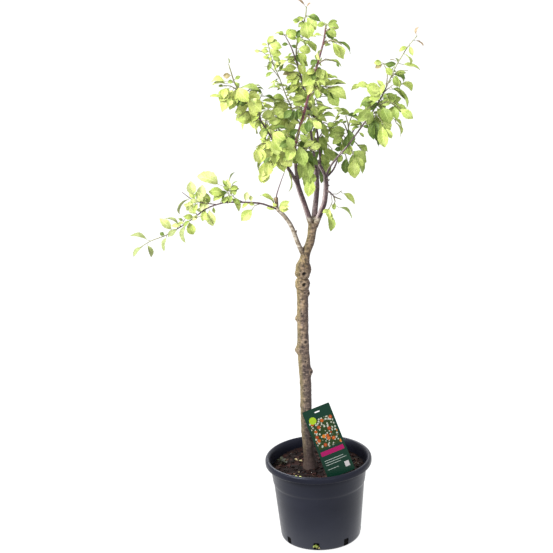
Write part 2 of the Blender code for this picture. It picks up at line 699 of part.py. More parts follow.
def make_masses(tree, cutters, foliage):
    """Each mass is one solid: its stem with the side twigs and leaves that fit in its own space."""
    grown = {mass.name: grow_mass(mass) for mass in MASSES}
    crown = Crown(grown)
    earlier = {}
    for mass in MASSES:
        twigs, leaf_sets = grown[mass.name]
        stem = twigs[0]
        solid = limb_solid(stem.path, taper(stem.path, stem.foot, stem.tip), 5)
        piece = add_object(mass.name, solid, tree, foliage)
        parts = []
        for twig, leaves in zip(twigs, leaf_sets):
            if twig.order and not crown.takes_twig(mass.name, twig):
                continue
            if twig.order:
                parts.append(limb_solid(twig.path, taper(twig.path, twig.foot, twig.tip), 3))
            parts += [leaf_solid(leaf) for leaf in leaves
                      if not leaf.fine and crown.takes_leaf(mass.name, leaf)]
        if parts:
            combine(piece, [add_object("part", part, cutters) for part in parts], "UNION")
        neighbours = grown_solids([mass.bough], cutters)
        for other in earlier.get(mass.bough, []):
            solid = limb_solid(other.path, taper(other.path, other.foot, other.tip, SEAT_GAP), 5)
            neighbours.append(add_object("stem_grown", solid, cutters))
        combine(piece, neighbours, "DIFFERENCE")
        earlier.setdefault(mass.bough, []).append(stem)


# Plant label
def label_frame(lean):
    """Axes of the card: to its right, up it, and out of its printed face."""
    yaw, tilt = radians(3.5), radians(18)
    turn = Matrix.Rotation(yaw, 3, "Z") @ Matrix.Rotation(-lean, 3, "X")
    right, face, up = turn.col[0], -turn.col[1], turn.col[2]
    return cos(tilt) * right + sin(tilt) * up, cos(tilt) * up - sin(tilt) * right, face


def make_label(tree, trunk):
    """A plastic card stands on one corner on the soil and leans back until it meets the stem."""
    foot = Vector((0.0222, -0.0775, SOIL_LEVEL + SEAT_GAP))
    mesh = trunk.data
    points = [mesh.vertices[a].co.lerp(mesh.vertices[b].co, share / 12)
              for a, b in (edge.vertices for edge in mesh.edges) for share in range(13)]

    def clearance(lean):
        right, up, face = label_frame(lean)
        least = 1.0
        for point in points:
            away = point - foot
            x, y = away.dot(right), away.dot(up)
            if -0.002 < x < LABEL_WIDTH + 0.002 and -0.002 < y < LABEL_LENGTH + 0.002:
                least = min(least, -away.dot(face))
        return least

    low, high = radians(10), radians(40)
    for _ in range(30):
        lean = (low + high) / 2
        if clearance(lean) > LABEL_THICKNESS + SEAT_GAP:
            low = lean
        else:
            high = lean
    right, up, face = label_frame(low)
    card = bpy.data.curves.new("plant_label", "CURVE")
    card.dimensions = "2D"
    card.fill_mode = "BOTH"
    card.extrude = LABEL_THICKNESS / 2
    outlines = [(LABEL_WIDTH / 2, LABEL_LENGTH / 2, 0.003, 0, LABEL_WIDTH / 2, LABEL_LENGTH / 2),
                (0.007, 0.0015, 0.0014, 0, LABEL_WIDTH / 2, LABEL_LENGTH - 0.012)]
    for half_x, half_y, corner, _, middle_x, middle_y in outlines:
        spline = card.splines.new("POLY")
        spline.use_cyclic_u = True
        spots = []
        for quarter in range(4):
            for step in range(4):
                turn = (quarter + step / 3) * pi / 2
                sign_x, sign_y = [(1, 1), (-1, 1), (-1, -1), (1, -1)][quarter]
                spots.append((middle_x + sign_x * (half_x - corner) + corner * cos(turn),
                              middle_y + sign_y * (half_y - corner) + corner * sin(turn)))
        spline.points.add(len(spots) - 1)
        for point, (x, y) in zip(spline.points, spots):
            point.co = (x, y, 0, 1)
    label = bpy.data.objects.new("plant_label", card)
    card.materials.append(finish("label_card", (0.02, 0.13, 0.07), 0.35))
    weld = label.modifiers.new("weld", "WELD")
    weld.merge_threshold = 0.00005
    place = Matrix((right, up, face)).transposed().to_4x4()
    place.translation = foot - face * (LABEL_THICKNESS / 2)
    label.matrix_world = place
    tree.objects.link(label)


tree, cutters = fresh_scene()
make_pot(tree, cutters)
make_soil(tree)
bark = finish("bark", (0.22, 0.17, 0.13), 0.85)
foliage = finish("foliage", (0.30, 0.50, 0.10), 0.6)
make_label(tree, make_wood(tree, bpy.context.scene.collection, bark))
make_masses(tree, bpy.context.scene.collection, foliage)
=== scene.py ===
"""Finished looks of the potted mirabelle plum tree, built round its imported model.

Metres, +Z up, the origin under the middle of the pot and the front towards -Y.
"""

import random
from collections import namedtuple
from math import acos, asin, ceil, cos, exp, hypot, pi, radians, sin

import bmesh
import bpy
from mathutils import Matrix, Quaternion, Vector, geometry, kdtree, noise


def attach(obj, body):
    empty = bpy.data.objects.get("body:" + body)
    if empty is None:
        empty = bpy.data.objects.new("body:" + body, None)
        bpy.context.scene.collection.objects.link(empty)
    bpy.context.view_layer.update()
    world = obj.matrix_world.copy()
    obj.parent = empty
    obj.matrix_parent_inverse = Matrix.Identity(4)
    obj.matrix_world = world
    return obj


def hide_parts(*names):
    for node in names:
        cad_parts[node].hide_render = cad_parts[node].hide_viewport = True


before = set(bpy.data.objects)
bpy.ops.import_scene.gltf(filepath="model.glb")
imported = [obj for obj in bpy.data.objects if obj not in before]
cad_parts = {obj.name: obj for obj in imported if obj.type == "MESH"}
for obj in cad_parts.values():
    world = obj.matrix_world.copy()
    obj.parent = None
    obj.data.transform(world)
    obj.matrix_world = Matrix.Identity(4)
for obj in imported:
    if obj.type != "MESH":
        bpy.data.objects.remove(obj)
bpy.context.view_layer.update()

# The pot: a round ten-litre nursery pot, moulded in one piece from recycled black plastic, with a
# stepped wall, a rolled rim and eight drain slots low in the wall. It stands on its flat underside.
POT_WALL = 0.0025
POT_OUTSIDE = [
    (0.0, 0.0), (0.094, 0.0), (0.0988, 0.0003), (0.1020, 0.0016), (0.1041, 0.0038), (0.1053, 0.0066),
    (0.1061, 0.0105), (0.1130, 0.085), (0.1192, 0.1530), (0.1196, 0.1556), (0.1206, 0.1580),
    (0.1214, 0.1602), (0.1220, 0.1640), (0.1246, 0.1850), (0.1269, 0.2030), (0.1276, 0.2052),
    (0.1292, 0.2064), (0.1330, 0.2067), (0.1370, 0.2071), (0.1388, 0.2080), (0.1397, 0.2095),
    (0.1400, 0.2117), (0.1400, 0.2176), (0.1396, 0.2200), (0.1385, 0.2223), (0.1368, 0.2240),
    (0.1347, 0.2249), (0.1326, 0.2246), (0.1307, 0.2234), (0.1292, 0.2214), (0.1272, 0.2180),
    (0.1247, 0.2050), (0.1222, 0.1850), (0.1193, 0.1612), (0.1169, 0.1540), (0.1106, 0.0850),
    (0.1037, 0.0100), (0.1018, 0.0050), (0.0975, 0.0027), (0.0, 0.0025),
]
SLOT_WIDTH, SLOT_BOTTOM, SLOT_TOP = 0.015, 0.0035, 0.0245
SLOT_TURN = radians(-98.5)
POT_SIDES = 144


def finish(name, colour, roughness):
    """A new Principled material, its node tree and its shader."""
    material = bpy.data.materials.new(name)
    material.use_nodes = True
    material.diffuse_color = (*colour, 1)
    shader = material.node_tree.nodes["Principled BSDF"]
    shader.inputs["Base Color"].default_value = (*colour, 1)
    shader.inputs["Roughness"].default_value = roughness
    return material, material.node_tree, shader


def node(tree, kind, sockets, **settings):
    """A shader node with its settings, and each socket linked or given its value."""
    made = tree.nodes.new("ShaderNode" + kind)
    for name, value in settings.items():
        setattr(made, name, value)
    for name, value in sockets.items():
        if isinstance(value, bpy.types.NodeSocket):
            tree.links.new(value, made.inputs[name])
        else:
            made.inputs[name].default_value = value
    return made


def spots_on(tree, scale, **settings):
    """The object's own coordinates, scaled along each axis."""
    place = node(tree, "TexCoord", {})
    return node(tree, "Mapping", {"Vector": place.outputs["Object"], "Scale": scale}, **settings).outputs[0]


def ramp(tree, factor, stops):
    """Colours or greys along a factor."""
    made = node(tree, "ValToRGB", {"Fac": factor})
    while len(made.color_ramp.elements) < len(stops):
        made.color_ramp.elements.new(0.5)
    for element, (place, colour) in zip(made.color_ramp.elements, stops):
        element.position = place
        element.color = (*colour, 1) if isinstance(colour, tuple) else (colour, colour, colour, 1)
    return made.outputs["Color"]


def blend_of(tree, factor, first, second, kind="MIX"):
    """Two colours mixed by a factor."""
    made = node(tree, "Mix", {}, data_type="RGBA", blend_type=kind)
    for socket, value in ((made.inputs[0], factor), (made.inputs[6], first), (made.inputs[7], second)):
        if isinstance(value, bpy.types.NodeSocket):
            tree.links.new(value, socket)
        else:
            socket.default_value = value if isinstance(value, float) else (*value, 1)
    return made.outputs[2]


def bump(tree, shader, height, distance, strength=1.0):
    """Relief that is too fine to model."""
    made = node(tree, "Bump", {"Height": height, "Distance": distance, "Strength": strength})
    tree.links.new(made.outputs[0], shader.inputs["Normal"])
    return made


def piece_of(name, solid, materials, smooth=True):
    """An object from a bmesh, with its materials."""
    mesh = bpy.data.meshes.new(name)
    solid.to_mesh(mesh)
    solid.free()
    piece = bpy.data.objects.new(name, mesh)
    for material in materials:
        mesh.materials.append(material)
    if smooth:
        mesh.shade_smooth()
    bpy.context.scene.collection.objects.link(piece)
    return piece


def apply_modifiers(piece):
    """Keeps the mesh that the modifiers give, and no modifier."""
    seen = piece.evaluated_get(bpy.context.evaluated_depsgraph_get())
    mesh = bpy.data.meshes.new_from_object(seen)
    piece.modifiers.clear()
    piece.data = mesh


def turned_solid(profile, sides):
    """A half section in the XZ plane, spun right round Z."""
    solid = bmesh.new()
    verts = [solid.verts.new((radius, 0, height)) for radius, height in profile]
    edges = [solid.edges.new(pair) for pair in zip(verts, verts[1:])]
    bmesh.ops.spin(solid, geom=verts + edges, cent=(0, 0, 0), axis=(0, 0, 1), angle=2 * pi,
                   steps=sides, use_merge=True)
    bmesh.ops.remove_doubles(solid, verts=solid.verts[:], dist=0.00002)
    bmesh.ops.recalc_face_normals(solid, faces=solid.faces[:])
    return solid


plastic, tree, shader = finish("pot_plastic", (0.013, 0.014, 0.019), 0.42)
shader.inputs["Specular Tint"].default_value = (0.78, 0.84, 1.0, 1)
cloudy = node(tree, "TexNoise", {"Vector": spots_on(tree, (9, 9, 14)), "Scale": 1.0, "Detail": 5.0})
turning = node(tree, "TexNoise", {"Vector": spots_on(tree, (12, 12, 420)), "Scale": 1.0, "Detail": 3.0})
grime = node(tree, "TexNoise", {"Vector": spots_on(tree, (60, 60, 60)), "Scale": 1.0, "Detail": 6.0})
height = node(tree, "SeparateXYZ", {"Vector": spots_on(tree, (1, 1, 1))}).outputs["Z"]
body = ramp(tree, cloudy.outputs["Fac"], [(0.3, (0.0028, 0.0030, 0.0060)), (0.7, (0.0056, 0.0060, 0.0108))])
dusty = node(tree, "MapRange", {"Value": height, "From Min": 0.060, "From Max": 0.0, "To Min": 0.0,
                                "To Max": 0.6})
dusty = node(tree, "Math", {0: dusty.outputs[0], 1: grime.outputs["Fac"]}, operation="MULTIPLY")
body = blend_of(tree, dusty.outputs[0], body, (0.030, 0.027, 0.024))
# Painted light and shade: the wall is painted lighter and bluer low down and darker up under the rim, where the rim
# shades it.
low = node(tree, "MapRange", {"Value": height, "From Min": 0.120, "From Max": 0.015, "To Max": 0.8})
body = blend_of(tree, low.outputs[0], body, (0.015, 0.016, 0.022))
sheen = node(tree, "MapRange", {"Value": height, "From Min": 0.190, "From Max": 0.200, "To Min": 0.18, "To Max": 0.12})
tree.links.new(sheen.outputs[0], shader.inputs["Specular IOR Level"])
tree.links.new(body, shader.inputs["Base Color"])
rough = node(tree, "MapRange", {"Value": turning.outputs["Fac"], "To Min": 0.30, "To Max": 0.46})
tree.links.new(rough.outputs[0], shader.inputs["Roughness"])
bump(tree, shader, turning.outputs["Fac"], 0.00012)

pot = piece_of("nursery_pot", turned_solid(POT_OUTSIDE, POT_SIDES), [plastic])
slots = bmesh.new()
for k in range(8):
    turn = SLOT_TURN + 2 * pi * k / 8
    place = Matrix.Rotation(turn, 4, "Z") @ Matrix.Translation((0.107, 0, (SLOT_TOP + SLOT_BOTTOM) / 2))
    box = bmesh.ops.create_cube(slots, size=1, matrix=place @ Matrix.Diagonal(
        (0.020, SLOT_WIDTH, SLOT_TOP - SLOT_BOTTOM, 1)))
    upright = [edge for edge in slots.edges if edge.verts[0] in box["verts"]
               and abs(edge.verts[0].co.z - edge.verts[1].co.z) < 1e-6
               and hypot(*(edge.verts[0].co - edge.verts[1].co).xy) > 0.018]
    bmesh.ops.bevel(slots, geom=upright, offset=0.002, segments=3, profile=0.5, affect="EDGES", material=-1)
cutter = piece_of("slot_cutter", slots, [])
cut = pot.modifiers.new("slots", "BOOLEAN")
cut.operation = "DIFFERENCE"
cut.object = cutter
cut.solver = "EXACT"
apply_modifiers(pot)
bpy.data.objects.remove(cutter)
pot.data.set_sharp_from_angle(angle=radians(38))
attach(pot, "root")
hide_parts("pot")

# The compost: dark peat and shredded bark pressed into the pot to 33 mm under its rim, with loose
# chips, a few white perlite grains, fallen bits of leaf and one small weed on top of it.
SOIL_LEVEL = 0.1915
SOIL_EDGE = 0.1230
FOOT = Vector((-0.022, 0.0, SOIL_LEVEL))


def soil_height(x, y):
    """The lumpy top of the compost, heaped a little round the stem."""
    from_stem = hypot(x - FOOT.x, y - FOOT.y)
    lumps = 0.0026 * noise.noise(Vector((x * 55, y * 55, 0.3))) + 0.0015 * noise.noise(Vector((x * 150, y * 150, 5)))
    back = min(max((y - 0.020) / 0.095, 0), 1)
    return SOIL_LEVEL + lumps + 0.0032 * exp(-(from_stem / 0.030) ** 2) + 0.0095 * back ** 2 - 0.0006


soil_wall = [(0.0, 0.0028), (0.0972, 0.0030), (0.1013, 0.0053), (0.1033, 0.0102), (0.1103, 0.0850),
             (0.1166, 0.1540), (0.1190, 0.1614), (0.1219, 0.1850), (SOIL_EDGE, SOIL_LEVEL)]
soil_top = [(SOIL_EDGE * (1 - k / 56), SOIL_LEVEL) for k in range(1, 57)]
compost = turned_solid(soil_wall + soil_top, 128)
for vert in compost.verts:
    if vert.co.z > SOIL_LEVEL - 0.0001:
        x, y = vert.co.xy
        vert.co.z = soil_height(x, y)
        vert.co.xy *= 1 + 0.9 * max(0, vert.co.z - SOIL_LEVEL) * hypot(x, y) / SOIL_EDGE
earth, tree, shader = finish("compost", (0.02, 0.012, 0.009), 0.95)
shader.inputs["Specular IOR Level"].default_value = 0.1
grains = node(tree, "TexVoronoi", {"Vector": spots_on(tree, (1, 1, 1)), "Scale": 420.0, "Randomness": 1.0})
patches = node(tree, "TexNoise", {"Vector": spots_on(tree, (1, 1, 1)), "Scale": 60.0, "Detail": 8.0})
tone = ramp(tree, patches.outputs["Fac"], [(0.30, (0.0020, 0.0015, 0.0015)), (0.52, (0.0076, 0.0033, 0.0030)),
                                           (0.72, (0.0200, 0.0072, 0.0055))])
tone = blend_of(tree, 0.35, tone, grains.outputs["Color"], "MULTIPLY")
high = node(tree, "SeparateXYZ", {"Vector": spots_on(tree, (1, 1, 1))}).outputs["Z"]
# Painted shade: the compost is painted far darker down inside the pot, where it lies in the pot's shade and shows only
# through the drain slots.
tone = blend_of(tree, 1.0, tone, ramp(tree, high, [(0.03, 0.12), (0.17, 1.0)]), "MULTIPLY")
tree.links.new(tone, shader.inputs["Base Color"])
bump(tree, shader, grains.outputs["Distance"], 0.0012)
compost = piece_of("compost", compost, [earth])
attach(compost, "root")
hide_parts("soil")


def varied(name, dark, light, scale, roughness, relief):
    """A finish that wanders between two colours, with a fine relief."""
    material, tree, shader = finish(name, light, roughness)
    shader.inputs["Specular IOR Level"].default_value = 0.12
    wander = node(tree, "TexNoise", {"Vector": spots_on(tree, (1, 1, 1)), "Scale": scale, "Detail": 6.0})
    tree.links.new(ramp(tree, wander.outputs["Fac"], [(0.32, dark), (0.68, light)]), shader.inputs["Base Color"])
    bump(tree, shader, wander.outputs["Fac"], relief)
    return material


rng = random.Random(11)
chips = bmesh.new()
for _ in range(430):
    far, turn = SOIL_EDGE * 0.97 * rng.random() ** 0.5, rng.uniform(0, 2 * pi)
    x, y = far * cos(turn), far * sin(turn)
    size = Vector((rng.uniform(0.006, 0.017), rng.uniform(0.003, 0.008), rng.uniform(0.001, 0.003)))
    if hypot(x - FOOT.x, y - FOOT.y) < 0.019 or far + size.x * 0.5 > SOIL_EDGE:
        continue
    tilt = Matrix.Rotation(rng.uniform(0, 2 * pi), 4, "Z") @ Matrix.Rotation(rng.gauss(0, 0.30), 4, "Y") \
        @ Matrix.Rotation(rng.gauss(0, 0.30), 4, "X")
    place = Matrix.Translation((x, y, soil_height(x, y) + size.z * 0.35)) @ tilt
    made = bmesh.ops.create_cube(chips, size=1, matrix=place @ Matrix.Diagonal((*size, 1)))
    for vert in made["verts"]:
        vert.co += Vector([rng.gauss(0, 0.12) * part for part in size])
    kind = rng.choices((0, 1, 2), (6, 4, 0.5))[0]
    for face in {face for vert in made["verts"] for face in vert.link_faces}:
        face.material_index = kind
bark_chips = piece_of("bark_chips", chips, [
    varied("chip_dark", (0.0028, 0.0018, 0.0018), (0.0085, 0.0046, 0.0040), 160.0, 0.9, 0.0006),
    varied("chip_red", (0.0085, 0.0028, 0.0024), (0.0240, 0.0080, 0.0062), 160.0, 0.9, 0.0006),
    varied("chip_tan", (0.0270, 0.0150, 0.0095), (0.0600, 0.0350, 0.0230), 160.0, 0.9, 0.0006)], smooth=False)
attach(bark_chips, "root")

grains = bmesh.new()
for k in range(22):
    far, turn = SOIL_EDGE * 0.95 * rng.random() ** 0.5, rng.uniform(0, 2 * pi)
    x, y = (0.105, 0.011) if k == 0 else (far * cos(turn), far * sin(turn))
    size = 0.0021 if k == 0 else rng.uniform(0.0006, 0.0014)
    place = Matrix.Translation((x, y, soil_height(x, y) + size * 0.6))
    made = bmesh.ops.create_icosphere(grains, subdivisions=1, radius=size, matrix=place)
    for vert in made["verts"]:
        vert.co += Vector([rng.gauss(0, 0.16 * size) for _ in range(3)])
perlite = piece_of("perlite", grains, [varied("perlite", (0.17, 0.165, 0.145), (0.28, 0.275, 0.25), 600.0, 0.8, 0.0002)])
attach(perlite, "root")

# The plant label: a printed plastic card with a hanging hole near its top. It stands on one corner
# in front of the stem and leans back against it.
LABEL_WIDTH, LABEL_LENGTH = 0.075, 0.186
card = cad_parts["plant_label"]
widest = max(card.data.polygons, key=lambda face: face.area)
face_out = widest.normal if widest.normal.y < 0 else -widest.normal
turn = Matrix.Rotation(radians(3.5), 3, "Z") @ Matrix.Rotation(-asin(face_out.z), 3, "X")
right = cos(radians(18)) * turn.col[0] + sin(radians(18)) * turn.col[2]
up = cos(radians(18)) * turn.col[2] - sin(radians(18)) * turn.col[0]
foot = min((vert.co for vert in card.data.vertices), key=lambda co: co.dot(right) + co.dot(up))
card_place = Matrix((right, up, -turn.col[1])).transposed().to_4x4()
card_place.translation = Vector((
    min(vert.co.dot(right) for vert in card.data.vertices),
    min(vert.co.dot(up) for vert in card.data.vertices), 0)).x * right
card_place.translation += min(vert.co.dot(up) for vert in card.data.vertices) * up \
    + foot.dot(-turn.col[1]) * (-turn.col[1])

printed, tree, shader = finish("label_print", (0.012, 0.085, 0.050), 0.32)
place = node(tree, "TexCoord", {})
on_card = node(tree, "Mapping", {"Vector": place.outputs["Object"], "Location": card_place.translation,
                                 "Rotation": card_place.to_euler()}, vector_type="TEXTURE")
across = node(tree, "SeparateXYZ", {"Vector": on_card.outputs[0]})
x_on, y_on, z_on = across.outputs["X"], across.outputs["Y"], across.outputs["Z"]


def inside(low, high, value):
    """1 where a value lies between two limits."""
    middle = node(tree, "Math", {0: value, 1: (low + high) / 2, 2: (high - low) / 2}, operation="COMPARE")
    return middle.outputs[0]


def both(first, second):
    return node(tree, "Math", {0: first, 1: second}, operation="MULTIPLY").outputs[0]


def panel(left, bottom, width, length):
    return both(inside(left, left + width, x_on), inside(bottom, bottom + length, y_on))


def dot_grid(scale, shift, size, randomness):
    """Cells of round fruits or petals on the card, with each cell's chance colour."""
    moved = node(tree, "Mapping", {"Vector": on_card.outputs[0], "Location": shift})
    flat = node(tree, "VectorMath", {0: moved.outputs[0], 1: (1, 1, 0)}, operation="MULTIPLY")
    cells = node(tree, "TexVoronoi", {"Vector": flat.outputs[0], "Scale": scale, "Randomness": randomness})
    near = node(tree, "MapRange", {"Value": cells.outputs["Distance"], "From Min": size, "From Max": size * 0.86})
    return cells, near.outputs[0]


ink = blend_of(tree, panel(0.006, 0.060, 0.063, 0.012), (0.0012, 0.0230, 0.0115), (0.230, 0.002, 0.066))
leafy, leafy_in = dot_grid(150.0, (0.3, 0.1, 0), 0.42, 0.9)
picture = blend_of(tree, leafy_in, (0.012, 0.030, 0.005), (0.30, 0.33, 0.26))
fruit, fruit_in = dot_grid(78.0, (0.0, 0.2, 0), 0.40, 0.55)
hue = node(tree, "SeparateColor", {"Color": fruit.outputs["Color"]}).outputs["Red"]
plums = ramp(tree, hue, [(0.0, (0.20, 0.025, 0.004)), (0.5, (0.36, 0.085, 0.006)), (1.0, (0.46, 0.20, 0.012))])
shine = node(tree, "MapRange", {"Value": fruit.outputs["Distance"], "From Min": 0.14, "From Max": 0.02,
                                "To Max": 0.55})
plums = blend_of(tree, shine.outputs[0], plums, (0.62, 0.42, 0.20))
bunch = both(fruit_in, inside(0.0, 0.72, hue))
picture = blend_of(tree, bunch, picture, plums)
ink = blend_of(tree, panel(0.006, 0.078, 0.063, 0.078), ink, picture)
for k, (low, width) in enumerate([(0.046, 0.052), (0.040, 0.058), (0.034, 0.040), (0.022, 0.030)]):
    ink = blend_of(tree, panel(0.008, low, width, 0.0014), ink, (0.26, 0.31, 0.27))
ink = blend_of(tree, panel(0.055, 0.014, 0.012, 0.014), ink, (0.38, 0.38, 0.36))
round_x = node(tree, "Math", {0: x_on, 1: 0.018}, operation="SUBTRACT").outputs[0]
round_y = node(tree, "Math", {0: y_on, 1: 0.156}, operation="SUBTRACT").outputs[0]
far = node(tree, "Math", {0: both(round_x, round_x), 1: both(round_y, round_y)}, operation="ADD")
in_round = node(tree, "Math", {0: far.outputs[0], 1: 0.0095 ** 2}, operation="LESS_THAN")
ink = blend_of(tree, in_round.outputs[0], ink, (0.22, 0.36, 0.01))
ink = blend_of(tree, inside(-0.0015, -0.0004, z_on), ink, (0.30, 0.31, 0.29))
ink = blend_of(tree, 1.0, ink, (0.60, 0.56, 0.60), "MULTIPLY")
tree.links.new(ink, shader.inputs["Base Color"])
shader.inputs["Specular IOR Level"].default_value = 0.06
card.data.materials.clear()
card.data.materials.append(printed)

# The stem and its limbs: one young tree, budded on a clear stem whose graft has swollen over old
# pruning cuts. Its bark is grey-brown with cross-wise pores, purple-brown and smooth on the limbs.
UP = Vector((0, 0, 1))
TRUNK_RADIUS, LEADER_RADIUS = 0.0142, 0.0105
SEAT_GAP = 0.0003
TRUNK_LINE = [
    (-0.022, 0.000, SOIL_LEVEL + SEAT_GAP), (-0.0275, -0.003, 0.32), (-0.026, -0.004, 0.44),
    (-0.0285, -0.002, 0.54), (-0.0255, 0.001, 0.66), (-0.0235, 0.001, 0.72), (-0.0155, 0.000, 0.775),
    (-0.0005, 0.000, 0.817), (0.009, 0.000, 0.866),
]
# Swellings all round the stem: height, growth of the radius, half height, how square
SWELLINGS = [
    (0.192, 0.0052, 0.020, 2), (0.485, 0.0009, 0.060, 2), (0.540, 0.0006, 0.008, 2), (0.7035, 0.0032, 0.0125, 4),
    (0.7190, -0.0032, 0.0024, 2), (0.7405, 0.0046, 0.0180, 4), (0.866, 0.0020, 0.014, 2),
]
# Knobs on one side of the stem: height, heading in degrees, growth, half height
KNOBS = [
    (0.466, 355, 0.0046, 0.009), (0.527, 183, 0.0068, 0.009), (0.551, 290, 0.0022, 0.007),
    (0.611, 180, 0.0058, 0.0062), (0.680, 345, 0.0048, 0.0075), (0.732, 200, 0.0024, 0.007),
    (0.699, 205, 0.0026, 0.006), (0.744, 15, 0.0016, 0.008), (0.752, 215, 0.0014, 0.005), (0.300, 190, 0.0014, 0.008),
    (0.590, 330, 0.0012, 0.006), (0.630, 255, 0.0010, 0.005), (0.420, 300, 0.0012, 0.006), (0.706, 350, 0.0014, 0.006),
    (0.372, 200, 0.0016, 0.006), (0.345, 310, 0.0010, 0.006), (0.500, 60, 0.0024, 0.007), (0.400, 120, 0.0020, 0.007),
]
# Hollow pruning cuts in the graft, and flat healed ones down the stem: place, radius, how hollow
CUTS = [
    ((-0.0188, -0.0178, 0.7350), 0.0064, 1.0), ((-0.0200, -0.0158, 0.7055), 0.0060, 1.0),
    ((-0.0095, -0.0095, 0.6800), 0.0042, 0.7), ((-0.0220, -0.0160, 0.5510), 0.0052, 0.6),
    ((-0.0445, -0.0070, 0.5270), 0.0046, 0.5), ((-0.0420, -0.0060, 0.6110), 0.0036, 0.4),
    ((-0.0300, -0.0145, 0.6290), 0.0030, 0.35), ((-0.0240, -0.0185, 0.4980), 0.0034, 0.5),
    ((-0.0105, -0.0115, 0.4665), 0.0050, 0.6), ((-0.0300, -0.0170, 0.4200), 0.0036, 0.4),
    ((-0.0290, 0.0160, 0.6450), 0.0046, 0.7), ((-0.0240, 0.0160, 0.4000), 0.0042, 0.6),
    ((-0.0250, 0.0150, 0.5600), 0.0040, 0.5),
]

# Each limb: name, centre line, radius at its foot and at its tip
Limb = namedtuple("Limb", "name line foot tip")
LIMBS = [
    Limb("low_left_bough",
         [(-0.016, 0, 0.776), (-0.024, -0.006, 0.794), (-0.034, -0.012, 0.822), (-0.043, -0.020, 0.853),
          (-0.051, -0.024, 0.873), (-0.066, -0.030, 0.897), (-0.080, -0.034, 0.913)], 0.0060, 0.0046),
    Limb("right_limb",
         [(0.0125, -0.002, 0.855), (0.030, -0.005, 0.897), (0.038, -0.007, 0.918), (0.043, -0.010, 0.955),
          (0.043, -0.012, 0.992)], 0.0066, 0.0054),
    Limb("left_limb",
         [(0.0055, -0.002, 0.852), (-0.009, -0.006, 0.905), (-0.021, -0.012, 0.946), (-0.027, -0.016, 0.970)],
         0.0062, 0.0056),
    Limb("middle_limb",
         [(0.009, 0.005, 0.852), (0.015, 0.011, 0.901), (0.020, 0.016, 0.937), (0.022, 0.020, 0.962),
          (0.020, 0.030, 0.999)], 0.0066, 0.0044),
    Limb("left_outer_bough",
         [(-0.026, -0.015, 0.966), (-0.040, -0.026, 0.998), (-0.051, -0.034, 1.019)], 0.0046, 0.0040),
    Limb("left_inner_bough",
         [(-0.026, -0.016, 0.964), (-0.029, -0.017, 1.006), (-0.033, -0.020, 1.053)], 0.0048, 0.0036),
    Limb("right_outer_bough",
         [(0.043, -0.013, 0.986), (0.060, -0.017, 1.019), (0.099, -0.030, 1.066)], 0.0042, 0.0031),
    Limb("right_inner_bough",
         [(0.043, -0.011, 0.986), (0.029, -0.004, 1.015), (0.013, 0.008, 1.032)], 0.0044, 0.0036),
    Limb("right_lower_bough",
         [(0.044, -0.009, 0.982), (0.064, 0.006, 0.999), (0.078, 0.024, 1.026)], 0.0036, 0.0029),
    Limb("back_bough",
         [(0.022, 0.022, 0.957), (0.027, 0.048, 0.984), (0.034, 0.075, 1.008)], 0.0040, 0.0034),
    Limb("right_spur",
         [(0.043, -0.011, 0.951), (0.053, -0.015, 0.945)], 0.0026, 0.0022),
]
# Short bare spurs on the limbs: root and tip; the thickest stands where the low bough forks
BUD_STUB = (-0.0832, -0.037, 0.944)
SPURS = [
    ((-0.0390, -0.015, 0.838), (-0.0330, -0.018, 0.853)), ((-0.0230, -0.005, 0.797), (-0.0165, -0.008, 0.806)),
    ((0.0430, -0.010, 0.957), (0.0520, -0.014, 0.964)), ((-0.0660, -0.031, 0.898), (-0.0720, -0.036, 0.919)),
    ((-0.0740, -0.033, 0.906), (-0.0670, -0.040, 0.923)), ((0.0210, 0.018, 0.948), (0.0150, 0.012, 0.955)),
    ((-0.0800, -0.034, 0.911), BUD_STUB), ((0.0440, -0.011, 0.972), (0.0530, -0.016, 0.979)),
]


def smooth_path(points, step):
    """Points about a step apart on a smooth curve through the given ones."""
    points = [Vector(point) for point in points]
    ends = [2 * points[0] - points[1], *points, 2 * points[-1] - points[-2]]
    path = [points[0]]
    for before, start, end, after in zip(ends, ends[1:], ends[2:], ends[3:]):
        count = max(1, round((end - start).length / step))
        curve = geometry.interpolate_bezier(
            start, start + (end - before) / 6, end - (after - start) / 6, end, count + 1)
        path += curve[1:]
    return path


def lengths_along(path):
    """The distance of each point from the path's start."""
    at = [0.0]
    for start, end in zip(path, path[1:]):
        at.append(at[-1] + (end - start).length)
    return at


def limb_into(solid, path, radius, sides, level_foot=False):
    """A closed limb, extruded ring by ring; radius(k, spot, angle) is its half thickness at ring k."""
    made = bmesh.ops.create_circle(solid, cap_ends=True, segments=sides, radius=1)
    face = made["verts"][0].link_faces[0]
    first = face
    angle = {vert: 2 * pi * k / sides for k, vert in enumerate(face.verts)}
    steps = [(end - start).normalized() for start, end in zip(path, path[1:])]
    ways = [steps[0], *((a + b).normalized() for a, b in zip(steps, steps[1:])), steps[-1]]
    if level_foot:
        ways[0] = UP.copy()
    turn = UP.rotation_difference(ways[0])
    rings = []
    for k, spot in enumerate(path):
        if k:
            turn = ways[k - 1].rotation_difference(ways[k]) @ turn
            region = [face, *face.edges, *face.verts]
            grown = bmesh.ops.extrude_face_region(solid, geom=region)["geom"]
            face = next(part for part in grown if isinstance(part, bmesh.types.BMFace))
            above = {}
            for vert in face.verts:
                below = next(edge.other_vert(vert) for edge in vert.link_edges
                             if edge.other_vert(vert) in angle)
                above[vert] = angle[below]
            angle = above
        for vert, around in angle.items():
            reach = radius(k, spot, around)
            vert.co = spot + turn @ Vector((cos(around) * reach, sin(around) * reach, 0))
        rings.append(list(angle))
    faces = list({face for ring in rings for vert in ring for face in vert.link_faces})
    bmesh.ops.recalc_face_normals(solid, faces=faces)
    return rings, faces


def taper(path, foot, tip):
    """The radius along a limb that thins evenly from foot to tip."""
    at = lengths_along(path)
    return lambda k, spot, around: foot + (tip - foot) * at[k] / at[-1]


